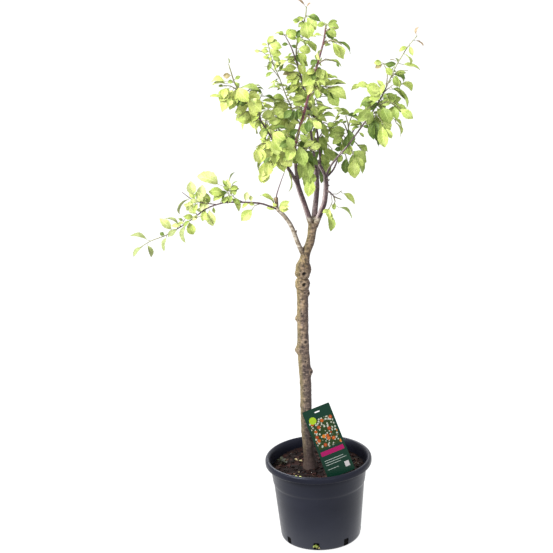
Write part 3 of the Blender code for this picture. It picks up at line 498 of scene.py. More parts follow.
def trunk_radius(spot, around):
    """Half thickness of the stem: an even taper, the foot's flare, the graft's swellings and knobs."""
    height = spot.z
    share = min(max((height - 0.755) / 0.035, 0), 1)
    radius = TRUNK_RADIUS + (LEADER_RADIUS - TRUNK_RADIUS) * share
    for middle, growth, half, power in SWELLINGS:
        radius += growth * exp(-abs((height - middle) / half) ** power)
    for middle, heading, growth, half in KNOBS:
        off = (around - radians(heading) + pi) % (2 * pi) - pi
        radius += growth * exp(-((height - middle) / half) ** 2 - (off * radius / (1.3 * half)) ** 2)
    return radius


# Each limb's thickness against the size it was packed with
FULLNESS = {"middle_limb": 1.2, "left_limb": 1.1, "right_limb": 1.08, "right_outer_bough": 0.66,
            "right_lower_bough": 0.66, "left_inner_bough": 1.1}
wood = bmesh.new()
path = smooth_path(TRUNK_LINE, 0.003)
limb_into(wood, path, lambda k, spot, around: trunk_radius(spot, around) + 0.0003, 36, level_foot=True)
for limb in LIMBS:
    path = smooth_path(limb.line, 0.006)
    size = FULLNESS.get(limb.name, 1.0)
    limb_into(wood, path, taper(path, limb.foot * size + 0.0003, limb.tip * size + 0.0002), 20)
for root, tip in SPURS:
    path = smooth_path([root, tip], 0.004)
    limb_into(wood, path, taper(path, 0.0030 if tip == BUD_STUB else 0.0024, 0.0056 if tip == BUD_STUB else 0.0013), 10)
bark_piece = piece_of("bark", wood, [])
remesh = bark_piece.modifiers.new("one_skin", "REMESH")
remesh.mode = "VOXEL"
remesh.voxel_size = 0.00102
remesh.use_smooth_shade = True
soften = bark_piece.modifiers.new("soften", "SMOOTH")
soften.factor = 0.5
soften.iterations = 3
apply_modifiers(bark_piece)


def step_up(low, high, value):
    """0 below low, 1 above high, and even between them."""
    return min(max((value - low) / (high - low), 0), 1)


AGES = {"low_left_bough": 0.45, "left_limb": 0.85, "left_inner_bough": 0.9, "left_outer_bough": 0.8}
limb_tree = kdtree.KDTree(4000)
ages = []
for limb in LIMBS:
    for spot in smooth_path(limb.line, 0.004):
        limb_tree.insert(spot, len(ages))
        ages.append(AGES.get(limb.name, 1.0))
limb_tree.balance()
solid = bmesh.new()
solid.from_mesh(bark_piece.data)
tint = solid.verts.layers.float_color.new("bark_tint_and_painted_light")
for vert in solid.verts:
    x, y, z = vert.co
    pores = noise.noise(Vector((x * 120, y * 120, z * 520)))
    ridges = noise.noise(Vector((x * 300, y * 300, z * 90)))
    lumps = noise.noise(Vector((x * 75, y * 75, z * 55)))
    rings = noise.noise(Vector((x * 30, y * 30, z * 330)))
    near, k, distance = limb_tree.find(vert.co)
    on_limb = step_up(0.0095, 0.0075, distance) * step_up(0.865, 0.885, z) if ages[k] != 0.45 \
        else step_up(0.0085, 0.0070, distance) * step_up(0.790, 0.805, z)
    rough = (1 - 0.6 * on_limb) * (1 + 0.9 * exp(-abs((z - 0.722) / 0.042) ** 4))
    away = rough * (0.0007 * max(0, pores - 0.15) + 0.00022 * ridges + 0.00080 * lumps + 0.00030 * rings)
    wound = rim = 0.0
    for middle, size, hollow in CUTS:
        far = (vert.co - Vector(middle)).length / size
        if far < 3:
            callus = exp(-((far - 1.35) / 0.38) ** 2) + 0.45 * exp(-((far - 2.2) / 0.3) ** 2)
            away += size * (0.24 * callus * (0.5 + hollow / 2) - 0.80 * hollow * exp(-(far / 0.80) ** 4))
            wound = max(wound, min(1, 1.3 * hollow) * exp(-(far / 0.78) ** 6))
            rim = max(rim, exp(-((far - 1.25) / 0.35) ** 2))
    # The fourth channel is painted light: 1 where the bark faces the lamp on the left, 0 where it faces right; the
    # finish paints that side lighter and the far side in shade.
    vert[tint] = (ages[k] * on_limb, wound, rim, 0.5 - 0.5 * vert.normal.x)
    vert.co += vert.normal * away
solid.to_mesh(bark_piece.data)
solid.free()
bark_piece.data.shade_smooth()

bark, tree, shader = finish("bark", (0.11, 0.085, 0.06), 0.7)
shader.inputs["Specular IOR Level"].default_value = 0.22
tints = node(tree, "Attribute", {}, attribute_name="bark_tint_and_painted_light")
parts = node(tree, "SeparateColor", {"Color": tints.outputs["Color"]})
young, wound, rim = parts.outputs["Red"], parts.outputs["Green"], parts.outputs["Blue"]
# lit_side carries the painted light and shade of the bark's two sides.
lit_side = tints.outputs["Alpha"]
broad = node(tree, "TexNoise", {"Vector": spots_on(tree, (42, 42, 30)), "Scale": 1.0, "Detail": 6.0,
                                "Roughness": 0.65})
patches = node(tree, "TexNoise", {"Vector": spots_on(tree, (130, 130, 170)), "Scale": 1.0, "Detail": 5.0})
streaks = node(tree, "TexNoise", {"Vector": spots_on(tree, (420, 420, 70)), "Scale": 1.0, "Detail": 6.0})
cracks = node(tree, "TexNoise", {"Vector": spots_on(tree, (60, 60, 650)), "Scale": 1.0, "Detail": 4.0})
pores = node(tree, "TexVoronoi", {"Vector": spots_on(tree, (105, 105, 430)), "Scale": 1.0, "Randomness": 1.0})
bands = node(tree, "TexNoise", {"Vector": spots_on(tree, (22, 22, 240)), "Scale": 1.0, "Detail": 4.0})
old = ramp(tree, broad.outputs["Fac"], [(0.34, (0.050, 0.037, 0.028)), (0.47, (0.105, 0.079, 0.052)),
                                        (0.60, (0.175, 0.134, 0.076))])
old = blend_of(tree, 0.85, old, ramp(tree, patches.outputs["Fac"], [(0.40, 0.30), (0.50, 0.95), (0.60, 1.3)]),
               "MULTIPLY")
old = blend_of(tree, 0.8, old, ramp(tree, streaks.outputs["Fac"], [(0.38, 0.50), (0.60, 1.25)]), "MULTIPLY")
old = blend_of(tree, 0.4, old, ramp(tree, cracks.outputs["Fac"], [(0.36, 0.35), (0.46, 1.0)]), "MULTIPLY")
old = blend_of(tree, 0.5, old, ramp(tree, bands.outputs["Fac"], [(0.40, 0.35), (0.52, 1.1)]), "MULTIPLY")
high = node(tree, "SeparateXYZ", {"Vector": spots_on(tree, (1, 1, 1))}).outputs["Z"]
old = blend_of(tree, 1.0, old, ramp(tree, high, [
    (0.30, (0.90, 0.90, 1.00)), (0.45, (1.04, 1.01, 1.12)), (0.55, (1.12, 1.07, 1.14)),
    (0.69, (1.25, 1.18, 1.12)), (0.72, (1.35, 1.27, 1.00)), (0.86, (1.15, 1.10, 1.0))]), "MULTIPLY")
# Painted light: the side facing the lamp is painted a lighter olive, in patches.
olive = node(tree, "MapRange", {"Value": lit_side, "From Min": 0.60, "From Max": 0.98, "To Max": 0.9})
olive = node(tree, "Math", {0: olive.outputs[0], 1: patches.outputs["Fac"]}, operation="MULTIPLY")
old = blend_of(tree, olive.outputs[0], old, (0.220, 0.185, 0.055))
# Painted shade: the side turned from the lamp is painted dark.
shaded = node(tree, "MapRange", {"Value": lit_side, "From Min": 0.46, "From Max": 0.02, "To Max": 0.8})
old = blend_of(tree, shaded.outputs[0], old, (0.052, 0.036, 0.031))
fresh = ramp(tree, broad.outputs["Fac"], [(0.34, (0.030, 0.013, 0.015)), (0.48, (0.082, 0.047, 0.047)),
                                          (0.62, (0.180, 0.132, 0.120))])
fresh = blend_of(tree, 0.7, fresh, ramp(tree, patches.outputs["Fac"], [(0.36, 0.40), (0.62, 1.0)]), "MULTIPLY")
# Painted light: the young bark's side facing the lamp is painted a pale lit edge.
lit_edge = node(tree, "MapRange", {"Value": lit_side, "From Min": 0.60, "From Max": 0.90, "To Max": 0.85})
fresh = blend_of(tree, lit_edge.outputs[0], fresh, (0.440, 0.375, 0.325))
fresh = blend_of(tree, 0.55, fresh, ramp(tree, streaks.outputs["Fac"], [(0.40, 0.42), (0.58, 1.30)]), "MULTIPLY")
# Painted shade on the young bark's far side.
fresh = blend_of(tree, shaded.outputs[0], fresh, (0.020, 0.010, 0.012))
tan = ramp(tree, patches.outputs["Fac"], [(0.38, (0.140, 0.112, 0.070)), (0.50, (0.260, 0.225, 0.150)),
                                          (0.62, (0.400, 0.375, 0.280))])
# Painted shade on the low bough's far side.
tan = blend_of(tree, shaded.outputs[0], tan, (0.060, 0.038, 0.030))
half = node(tree, "MapRange", {"Value": young, "From Min": 0.0, "From Max": 0.45})
skin = blend_of(tree, half.outputs[0], old, tan)
rest = node(tree, "MapRange", {"Value": young, "From Min": 0.5, "From Max": 0.8})
skin = blend_of(tree, rest.outputs[0], skin, fresh)
pore = node(tree, "MapRange", {"Value": pores.outputs["Distance"], "From Min": 0.36, "From Max": 0.20})
some = node(tree, "SeparateColor", {"Color": pores.outputs["Color"]})
some = node(tree, "MapRange", {"Value": some.outputs["Red"], "From Min": 0.55, "From Max": 0.75, "To Max": 0.8})
mark = node(tree, "Math", {0: pore.outputs[0], 1: some.outputs[0]}, operation="MULTIPLY")
skin = blend_of(tree, mark.outputs[0], skin, (0.270, 0.215, 0.155))
# The stem is painted darker towards its foot.
darker_low_stem = node(tree, "MapRange", {"Value": high, "From Min": 0.46, "From Max": 0.20, "To Max": 0.62})
skin = blend_of(tree, darker_low_stem.outputs[0], skin, (0.030, 0.022, 0.018))
soiled = node(tree, "MapRange", {"Value": high, "From Min": 0.290, "From Max": 0.215, "To Max": 0.75})
skin = blend_of(tree, soiled.outputs[0], skin, (0.034, 0.020, 0.016))
pale = node(tree, "Math", {0: rim, 1: 0.35}, operation="MULTIPLY")
skin = blend_of(tree, pale.outputs[0], skin, (0.300, 0.235, 0.150))
skin = blend_of(tree, wound, skin, (0.006, 0.004, 0.004))
skin = blend_of(tree, 1.0, skin, (0.73, 0.71, 0.80), "MULTIPLY")
tree.links.new(skin, shader.inputs["Base Color"])
smooth_skin = node(tree, "MapRange", {"Value": young, "From Min": 0.3, "From Max": 1.0, "To Min": 0.75,
                                      "To Max": 0.38})
tree.links.new(smooth_skin.outputs[0], shader.inputs["Roughness"])
grain = node(tree, "Math", {0: streaks.outputs["Fac"], 1: patches.outputs["Fac"]}, operation="ADD")
bump(tree, shader, grain.outputs[0], 0.0005, 0.8)
bark_piece.data.materials.append(bark)
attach(bark_piece, "root")
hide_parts("trunk", *(limb.name for limb in LIMBS))

# The shoots: this and last year's growth. Each mass of the crown is one stem that goes on from a
# limb's tip and branches into side twigs, dull purple where it is older and green at its tip.
Mass = namedtuple("Mass", "name bough line foot tip side_twigs fine_twigs reach bare spacing cluster leaf "
                          "droop seed tints red green_from")
# Each mass's tints paint light and shade: yellow and lime on the masses towards the lamp on the left, green and dark on
# the right and at the back.
MASSES = [
    Mass("left_spray", "low_left_bough",
         [(-0.115, -0.040, 0.930), (-0.160, -0.046, 0.938), (-0.214, -0.050, 0.940),
          (-0.252, -0.050, 0.929), (-0.306, -0.048, 0.892), (-0.362, -0.050, 0.862), (-0.397, -0.052, 0.851),
          (-0.431, -0.054, 0.832)],
         0.0032, 0.0013,
         [(0.40, 0.094, 186, 24), (0.27, 0.047, 144, 50), (0.12, 0.030, 200, -33), (0.55, 0.044, 92, 49),
          (0.56, 0.046, 291, 15), (0.66, 0.030, 80, 20)],
         0, 0, 0.40, 0.026, 2.4, 0.044, 0.35, 3, "yellow lime green lime green", 0.15, 0.66),
    Mass("low_left_shoot", "low_left_bough",
         [(-0.082, -0.036, 0.943), (-0.071, -0.038, 0.978), (-0.058, -0.042, 1.012)],
         0.0034, 0.0013, [], 0, 0, 0.22, 0.300, 5, 0.036, 0.10, 5, "yellow", 0.55, 0.97),
    Mass("left_crown", "left_outer_bough",
         [(-0.075, -0.045, 1.076), (-0.109, -0.055, 1.140), (-0.132, -0.065, 1.182),
          (-0.152, -0.075, 1.212), (-0.168, -0.085, 1.242), (-0.181, -0.095, 1.292)],
         0.0030, 0.0013,
         [(0.74, 0.055, 193, 24), (0.62, 0.075, 213, 19), (0.50, 0.063, 221, 7), (0.45, 0.070, 81, 59),
          (0.42, 0.054, 140, 7), (0.68, 0.028, 46, 52)],
         3, 0.060, 0.30, 0.026, 4, 0.056, 0.45, 7, "yellow yellow lime yellow green", 0.15, 0.72),
    Mass("left_skirt", "left_outer_bough",
         [(-0.059, -0.060, 1.053), (-0.077, -0.085, 1.087), (-0.101, -0.100, 1.104)],
         0.0028, 0.0014,
         [(0.50, 0.041, 194, -18), (0.30, 0.040, 237, 10), (0.70, 0.053, 229, 65), (0.80, 0.053, 216, 3)],
         2, 0.050, 0.20, 0.028, 4, 0.057, 0.80, 11, "yellow lime yellow lime", 0.1, 0.6),
    Mass("centre_crown", "left_inner_bough",
         [(-0.026, -0.026, 1.085), (-0.005, -0.036, 1.154), (0.015, -0.040, 1.225),
          (0.032, -0.040, 1.276), (0.049, -0.038, 1.332), (0.055, -0.036, 1.367)],
         0.0033, 0.0017,
         [(0.93, 0.037, 337, 27), (0.85, 0.050, 334, 4), (0.70, 0.048, 348, 8), (0.55, 0.054, 336, 23),
          (0.45, 0.072, 351, 16), (0.50, 0.058, 299, -1), (0.62, 0.051, 238, 47), (0.30, 0.071, 239, 25),
          (0.22, 0.079, 291, 22), (0.75, 0.049, 241, 45)],
         0, 0, 0.12, 0.042, 3, 0.050, 0.45, 13, "lime green yellow lime dark green", 1.0, 0.97),
    Mass("top_crown", "middle_limb",
         [(0.014, 0.036, 1.064), (0.006, 0.042, 1.145), (-0.008, 0.045, 1.229),
          (-0.017, 0.040, 1.273), (-0.016, 0.035, 1.308), (-0.006, 0.030, 1.338), (0.009, 0.025, 1.383),
          (0.011, 0.025, 1.402)],
         0.0035, 0.0013,
         [(0.70, 0.048, 154, 56), (0.85, 0.033, 343, 22), (0.80, 0.034, 32, -12), (0.66, 0.037, 148, -6),
          (0.55, 0.048, 199, 19), (0.45, 0.050, 46, -2), (0.35, 0.061, 8, 1), (0.25, 0.052, 12, -9),
          (0.90, 0.014, 219, 41)],
         2, 0.070, 0.10, 0.045, 3, 0.049, 0.45, 17, "lime green lime green yellow", 0.1, 0.55),
    Mass("upper_left_crown", "right_inner_bough",
         [(-0.004, 0.012, 1.086), (-0.024, 0.010, 1.135), (-0.045, 0.005, 1.185),
          (-0.060, 0.000, 1.232), (-0.078, -0.005, 1.283), (-0.086, -0.008, 1.323)],
         0.0033, 0.0013,
         [(0.80, 0.061, 190, 49), (0.70, 0.061, 219, 39), (0.60, 0.054, 145, 30), (0.50, 0.066, 216, 20),
          (0.42, 0.053, 142, -11), (0.33, 0.053, 230, 9)],
         0, 0, 0.15, 0.036, 3, 0.051, 0.45, 19, "lime green yellow lime green", 0.1, 0.3),
    Mass("front_crown", "right_inner_bough",
         [(0.001, -0.030, 1.054), (-0.014, -0.070, 1.074), (-0.031, -0.110, 1.096)],
         0.0030, 0.0014,
         [(0.35, 0.049, 261, -42), (0.50, 0.071, 292, -55), (0.60, 0.072, 232, -11), (0.60, 0.064, 299, 6),
          (0.80, 0.076, 273, 46), (0.90, 0.056, 230, 43)],
         0, 0, 0.30, 0.030, 3, 0.058, 0.80, 23, "lime green yellow lime green", 0.2, 0.3),
    Mass("right_crown", "right_outer_bough",
         [(0.141, -0.036, 1.123), (0.173, -0.040, 1.168), (0.196, -0.040, 1.210),
          (0.221, -0.036, 1.260), (0.254, -0.030, 1.309), (0.274, -0.028, 1.330)],
         0.0028, 0.0013,
         [(0.55, 0.059, 125, 78), (0.62, 0.051, 333, 24), (0.50, 0.051, 348, 23), (0.42, 0.056, 148, 47),
          (0.35, 0.047, 243, 14), (0.38, 0.070, 325, 0), (0.28, 0.058, 310, -17), (0.22, 0.045, 319, -35),
          (0.30, 0.080, 28, -20)],
         0, 0, 0.22, 0.040, 3, 0.050, 0.60, 29, "green lime green dark", 0.15, 0.42),
    Mass("right_skirt", "right_lower_bough",
         [(0.099, 0.030, 1.059), (0.105, 0.030, 1.098), (0.099, 0.030, 1.128)],
         0.0026, 0.0013,
         [(0.25, 0.041, 308, -25), (0.10, 0.035, 316, -47), (0.35, 0.054, 26, -32), (0.60, 0.059, 220, 38),
          (0.70, 0.042, 66, 38), (0.40, 0.035, 223, 33)],
         0, 0, 0.30, 0.035, 3, 0.053, 0.85, 31, "green lime green dark", 0.1, 0.4),
    Mass("back_crown", "back_bough",
         [(0.031, 0.100, 1.055), (0.023, 0.120, 1.109), (0.005, 0.130, 1.164),
          (-0.008, 0.130, 1.211)],
         0.0032, 0.0014,
         [(0.35, 0.073, 45, -9), (0.50, 0.079, 140, 7), (0.60, 0.068, 45, 18), (0.75, 0.063, 131, 30),
          (0.20, 0.070, 130, -1), (0.20, 0.049, 34, -30), (0.85, 0.061, 60, 21)],
         3, 0.070, 0.15, 0.036, 4, 0.054, 0.50, 37, "green dark lime", 0.2, 0.5),
    Mass("back_left_crown", "left_outer_bough",
         [(-0.058, 0.020, 1.051), (-0.071, 0.060, 1.084), (-0.084, 0.090, 1.119),
          (-0.098, 0.110, 1.152)],
         0.0028, 0.0014,
         [(0.40, 0.042, 162, 11), (0.50, 0.056, 60, 3), (0.65, 0.050, 158, 16), (0.80, 0.055, 55, 29),
          (0.30, 0.044, 168, -23)],
         2, 0.060, 0.20, 0.036, 4, 0.054, 0.55, 41, "lime green", 0.2, 0.5),
    Mass("right_sprig", "right_spur",
         [(0.063, -0.020, 0.935), (0.080, -0.026, 0.929)],
         0.0020, 0.0013,
         [(0.35, 0.027, 259, -65)],
         0, 0, 0.50, 0.030, 2, 0.046, 0.50, 43, "green lime", 0.1, 0.5),
]
TWIG_ROOT, TWIG_TIP = 0.0017, 0.0010
GOLDEN_TURN = radians(137.5)
LEAF_ROOM = 0.003
LEAF_CROWD = 0.010
HANG = 0.22  # how much more a leaf's own weight bends it down
# Leaves that share a node with one of the rule's own, as a chance number for each mass
COMPANY = {"left_crown": 1.0, "left_skirt": 1.0, "centre_crown": 1.4, "top_crown": 1.6, "upper_left_crown": 1.3,
           "front_crown": 1.0, "right_crown": 1.6, "right_skirt": 1.4, "back_crown": 1.4, "back_left_crown": 1.2}
COMPANY_CROWD = 0.0085
PETIOLE = 16  # percent of a leaf's length
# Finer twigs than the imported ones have: share of the stem, length, heading, rise and radius at the root
FINER_TWIGS = {
    "left_spray": [(0.23, 0.048, 178, 43, 0.0014)],
    "left_skirt": [(0.45, 0.064, 190, -43, 0.0012)],
    "top_crown": [(0.58, 0.104, 172, 70, 0.0024)],
    "right_skirt": [(0.15, 0.189, 333, 55, 0.0023)],
    "right_sprig": [(0.15, 0.026, 0, 16, 0.0010), (0.0, 0.047, 200, -80, 0.0009)],
}
# Leaves of the long stems that stand edge on to the front: from and to a percent of the stem, and their number
FLANK_LEAVES = {"top_crown": (34, 92, 14), "centre_crown": (34, 96, 14), "upper_left_crown": (30, 92, 12),
                "left_crown": (30, 90, 8), "right_crown": (34, 90, 9)}
# The leaves that show one by one from the front: twig, percent of it, heading, rise, length in millimetres,
# the breadth that shows in percent of the length, tint, which paints the leaf lighter in light and darker in shade, and
# the stalk's percent where it is a long one
SHOWN_LEAVES = {
    "left_spray": [
        (0, 96, 197, -46, 37, 34, "olive"), (0, 90, 182, 18, 51, 17, "olive"), (0, 93, 340, -76, 38, 34, "olive"),
        (0, 80, 180, 30, 15, 70, "dark"), (0, 79, 190, -79, 42, 30, "olive"), (0, 74, 182, 47, 48, 44, "pale"),
        (0, 72, 20, 36, 28, 32, "pale"), (0, 70, 200, -34, 34, 38, "olive"), (0, 68, 178, 29, 44, 15, "olive"),
        (0, 67, 185, 2, 28, 42, "pale"), (0, 62, 345, -72, 35, 72, "lime", 8), (0, 65, 258, -83, 48, 26, "olive", 8), 
        (0, 60, 215, -35, 28, 36, "green"), (0, 46, 330, -80, 48, 48, "pale"), (0, 48, 230, -60, 32, 55, "lime"),
        (0, 50, 350, -58, 44, 26, "dark"), (0, 43, 300, -70, 18, 45, "green"), (0, 38, 90, 85, 34, 16, "green"),
        (0, 55, 170, 45, 30, 52, "pale"), (0, 52, 60, 60, 30, 52, "pale"), (0, 49, 120, 70, 32, 48, "lime"),
        (0, 18, 100, 60, 18, 60, "pale"), (0, 19, 200, -30, 24, 40, "lime"), (0, 22, 60, 62, 26, 60, "pale"), (0, 21, 10, -20, 20, 50, "lime"), (0, 33, 100, 60, 16, 40, "lime"),
        (0, 57, 200, 10, 30, 50, "lime"), (0, 54, 215, -30, 24, 45, "pale"), (0, 47, 100, 62, 34, 26, "green"),
        (1, 62, 165, 84, 50, 52, "pale", 30), (1, 43, 20, 80, 44, 56, "pale", 26), (1, 62, 0, 70, 18, 40, "green"),
        (1, 76, 185, -57, 50, 10, "olive"), (1, 68, 250, -80, 12, 40, "green"), (1, 36, 170, 60, 30, 58, "pale"),
        (1, 30, 190, -50, 26, 46, "pale"), (1, 46, 200, 20, 26, 46, "pale"), (1, 22, 150, 70, 28, 42, "lime"),
        (1, 50, 200, -60, 28, 44, "lime"), (1, 15, 200, 50, 30, 32, "lime"), (1, 26, 250, -20, 24, 60, "pale"),
        (1, 56, 195, -20, 26, 40, "pale"), (4, 50, 175, 20, 28, 46, "pale"), (4, 75, 190, -30, 30, 52, "pale"),
        (4, 95, 150, 40, 26, 52, "lime"), (4, 85, 350, 20, 30, 56, "pale"), (4, 25, 200, 10, 16, 48, "lime"),
        (5, 90, 350, -20, 24, 45, "lime"), (4, 98, 20, 70, 26, 44, "green"), (4, 40, 10, -10, 28, 50, "pale"),
        (6, 60, 200, 30, 16, 50, "green"), (2, 97, 180, 22, 80, 38, "pale", 30), (2, 95, 42, 50, 44, 16, "green", 30), (2, 78, 0, 5, 30, 26, "green"),
        (2, 80, 350, 42, 36, 20, "green", 35), (2, 75, 190, 4, 50, 46, "lime", 26), (2, 68, 188, -26, 44, 34, "lime"),
        (2, 70, 190, 0, 22, 50, "dark"), (2, 47, 335, -60, 45, 32, "lime", 20), (2, 35, 340, -30, 26, 50, "green"),
        (2, 90, 150, 60, 24, 45, "green"), (2, 85, 20, 10, 26, 46, "pale"), (2, 60, 0, 30, 26, 50, "green"),
        (2, 98, 70, 70, 20, 42, "lime"), (2, 55, 200, -40, 28, 50, "green"), (2, 62, 250, -70, 26, 42, "lime"),
        (2, 50, 20, 50, 24, 42, "pale"), (3, 75, 195, -44, 40, 66, "lime", 8), (7, 98, 20, 10, 24, 50, "lime"),
        (7, 92, 200, 40, 22, 50, "green"), (7, 75, 250, -60, 22, 50, "green"), (7, 60, 30, 60, 16, 50, "green"),
        (7, 96, 100, 70, 24, 42, "pale")],
    "low_left_shoot": [
        (0, 10, 180, 34, 50, 30, "lime", 20), (0, 2, 0, 29, 36, 42, "lime"), (0, 1, 350, -2, 28, 58, "yellow"),
        (0, 1, 185, 10, 28, 42, "lime"), (0, 5, 200, 50, 18, 50, "yellow"), (0, 3, 340, 12, 32, 44, "yellow")],
    "right_sprig": [
        (2, 90, 355, -46, 48, 36, "lime"), (1, 50, 200, -80, 22, 56, "green"), (1, 75, 352, -42, 58, 18, "green", 25),
        (3, 94, 292, -78, 54, 38, "green"), (3, 85, 190, -30, 20, 50, "lime"), (3, 90, 300, -75, 30, 50, "lime"), (3, 80, 250, -74, 26, 60, "lime"),
        (3, 60, 0, -50, 14, 60, "green")],
    "top_crown": [
        (0, 100, 180, 40, 28, 30, "young"), (0, 100, 10, 40, 15, 40, "young"), (0, 93, 182, 8, 20, 46, "green"),
        (0, 95, 350, -12, 32, 32, "green"), (0, 95, 345, -22, 40, 40, "dark"), (0, 93, 310, -78, 50, 70, "lime"),
        (0, 95, 345, -55, 42, 58, "lime"), (0, 94, 190, -20, 22, 50, "lime"), (0, 92, 200, -45, 22, 50, "green"),
        (9, 100, 190, 0, 18, 50, "green"), (9, 80, 170, -20, 18, 50, "lime"),
        (0, 87, 200, -55, 25, 52, "dark"), (0, 84, 215, -75, 26, 40, "green"), (12, 100, 0, 5, 34, 54, "lime"),
        (12, 96, 10, 25, 30, 48, "green"), (12, 100, 165, 30, 14, 60, "green"), (12, 99, 180, 5, 26, 28, "lime"),
        (12, 97, 0, -18, 30, 46, "lime"), (12, 75, 180, -5, 18, 56, "dark"), (12, 72, 0, -20, 18, 50, "dark"),
        (12, 94, 30, 50, 24, 44, "lime"), (12, 55, 185, -50, 18, 34, "green"), (12, 40, 185, -30, 20, 36, "lime"),
        (3, 20, 340, -44, 48, 36, "green"), (3, 60, 0, 0, 26, 26, "lime"), (3, 90, 340, -60, 34, 40, "lime"),
        (0, 74, 0, -15, 36, 76, "lime"), (0, 71, 300, -60, 24, 54, "dark"), (0, 72, 340, -45, 34, 60, "lime"),
        (0, 68, 340, -35, 34, 60, "lime"), (0, 65, 320, -55, 36, 56, "yellow"), (0, 62, 190, -5, 38, 52, "lime"),
        (0, 63, 180, 20, 30, 38, "lime"), (0, 60, 195, -25, 38, 52, "yellow"), (0, 58, 200, -45, 36, 52, "lime"),
        (0, 57, 340, -20, 34, 54, "lime"), (0, 50, 180, 0, 72, 15, "lime", 50), (12, 97, 150, 22, 20, 50, "lime"), (0, 52, 190, -20, 36, 44, "yellow"),
        (0, 50, 280, -80, 40, 52, "green"), (0, 54, 350, -45, 40, 56, "lime"), (4, 100, 180, -6, 44, 13, "green", 55),
        (4, 50, 180, -34, 52, 28, "lime"), (4, 100, 190, -65, 26, 40, "green"), (4, 20, 185, 10, 28, 32, "lime"),
        (5, 30, 185, -40, 32, 40, "lime"), (5, 20, 200, -70, 32, 50, "yellow"), (5, 70, 185, 20, 24, 32, "lime"),
        (5, 55, 190, -10, 26, 44, "straw"), (7, 8, 10, 75, 34, 50, "lime"), (7, 30, 350, -50, 30, 44, "lime"),
        (7, 75, 350, -20, 50, 16, "lime", 30), (8, 40, 350, -40, 30, 44, "green"), (8, 80, 0, 5, 30, 40, "green")],
    "upper_left_crown": [
        (0, 100, 0, 54, 24, 62, "lime"), (0, 100, 355, -17, 35, 62, "lime"), (0, 99, 20, 20, 26, 50, "lime"),
        (0, 97, 0, -48, 30, 54, "lime"), (0, 98, 60, 70, 20, 50, "lime"), (0, 97, 185, -16, 14, 46, "lime"),
        (0, 92, 0, -6, 27, 66, "lime"), (0, 91, 185, -15, 14, 50, "lime"), (0, 90, 350, -30, 26, 52, "green"),
        (0, 90, 250, -60, 16, 50, "lime"), (0, 93, 180, 15, 22, 50, "lime"), (1, 85, 175, 10, 16, 50, "lime"), (0, 99, 178, 5, 16, 50, "lime"),
        (1, 35, 170, 24, 20, 40, "lime"), (0, 86, 190, -65, 26, 48, "green"), (0, 66, 185, 4, 26, 18, "lime"),
        (0, 60, 180, 5, 40, 26, "lime"), (0, 58, 0, -5, 32, 40, "lime"), (0, 55, 10, 30, 30, 36, "yellow"),
        (0, 50, 180, -2, 50, 28, "lime"), (0, 51, 180, 8, 42, 30, "green"), (0, 50, 0, 10, 42, 40, "lime"),
        (0, 48, 190, -30, 44, 56, "lime"), (0, 46, 0, 10, 38, 44, "lime"), (0, 43, 180, 18, 40, 56, "lime"),
        (5, 10, 170, 20, 44, 66, "lime"), (5, 40, 185, -24, 36, 50, "lime"), (5, 95, 185, -20, 34, 44, "lime"),
        (6, 20, 180, -10, 42, 60, "lime"), (6, 50, 200, -50, 40, 60, "yellow"), (6, 95, 185, -20, 36, 50, "lime"),
        (6, 70, 280, -75, 40, 56, "lime"), (0, 36, 185, 0, 38, 50, "lime"), (0, 33, 200, -40, 40, 60, "lime"),
        (2, 40, 190, -30, 24, 40, "green")],
    "centre_crown": [
        (0, 100, 10, 14, 28, 54, "green"), (0, 100, 350, -14, 32, 66, "green"), (0, 98, 345, -42, 34, 50, "green"),
        (0, 97, 330, -62, 26, 50, "dark"), (0, 100, 180, 0, 22, 56, "green"), (1, 40, 0, -35, 22, 50, "green"),
        (1, 30, 350, -60, 26, 50, "dark"), (0, 100, 165, 20, 18, 50, "green"), (0, 92, 180, 0, 28, 16, "lime"),
        (2, 50, 345, -36, 56, 15, "dark"), (2, 45, 340, -56, 54, 46, "lime"), (2, 70, 330, -66, 42, 30, "lime"),
        (2, 35, 0, 0, 22, 46, "dark"), (3, 40, 355, -16, 34, 22, "lime"), (3, 60, 350, -30, 36, 20, "green"),
        (3, 98, 340, -60, 14, 46, "dark"), (0, 74, 180, -28, 24, 62, "dark"), (0, 68, 300, -40, 36, 62, "lime"),
        (0, 64, 225, -30, 50, 72, "lime"), (0, 69, 320, -50, 46, 58, "lime"), (0, 66, 250, -40, 32, 56, "dark"),
        (0, 61, 320, -30, 40, 56, "lime"), (0, 67, 215, -15, 34, 50, "yellow"), (0, 58, 240, -50, 40, 50, "yellow"),
        (0, 57, 310, -45, 36, 52, "lime"), (4, 60, 350, -8, 30, 42, "lime"), (4, 90, 350, -12, 24, 30, "green"),
        (5, 50, 0, 4, 62, 34, "lime"), (5, 55, 350, -28, 68, 32, "lime"), (5, 70, 340, -58, 52, 56, "green"),
        (5, 75, 340, -60, 34, 50, "dark"), (5, 32, 350, -10, 34, 44, "green"), (6, 50, 280, -70, 28, 52, "lime"),
        (9, 98, 0, 25, 56, 14, "green", 30), (9, 98, 0, 2, 60, 14, "green", 30), (8, 70, 205, -60, 34, 46, "dark"), (5, 66, 0, 10, 48, 12, "green", 30), (8, 60, 250, -70, 32, 50, "dark"),
        (8, 80, 200, -40, 34, 50, "dark"), (9, 30, 280, -60, 40, 56, "green"), (9, 60, 320, -40, 38, 56, "green"),
        (9, 90, 340, -40, 36, 50, "lime"), (9, 80, 250, -60, 36, 54, "dark"), (0, 20, 180, -30, 30, 50, "dark"),
        (0, 24, 185, 10, 28, 44, "lime"), (0, 33, 185, -20, 30, 50, "dark"), (0, 16, 330, -40, 34, 50, "green")],
    "left_crown": [
        (0, 91, 180, 0, 21, 76, "straw"), (0, 100, 100, 80, 16, 26, "lime"), (0, 86, 180, 0, 56, 24, "yellow", 42),
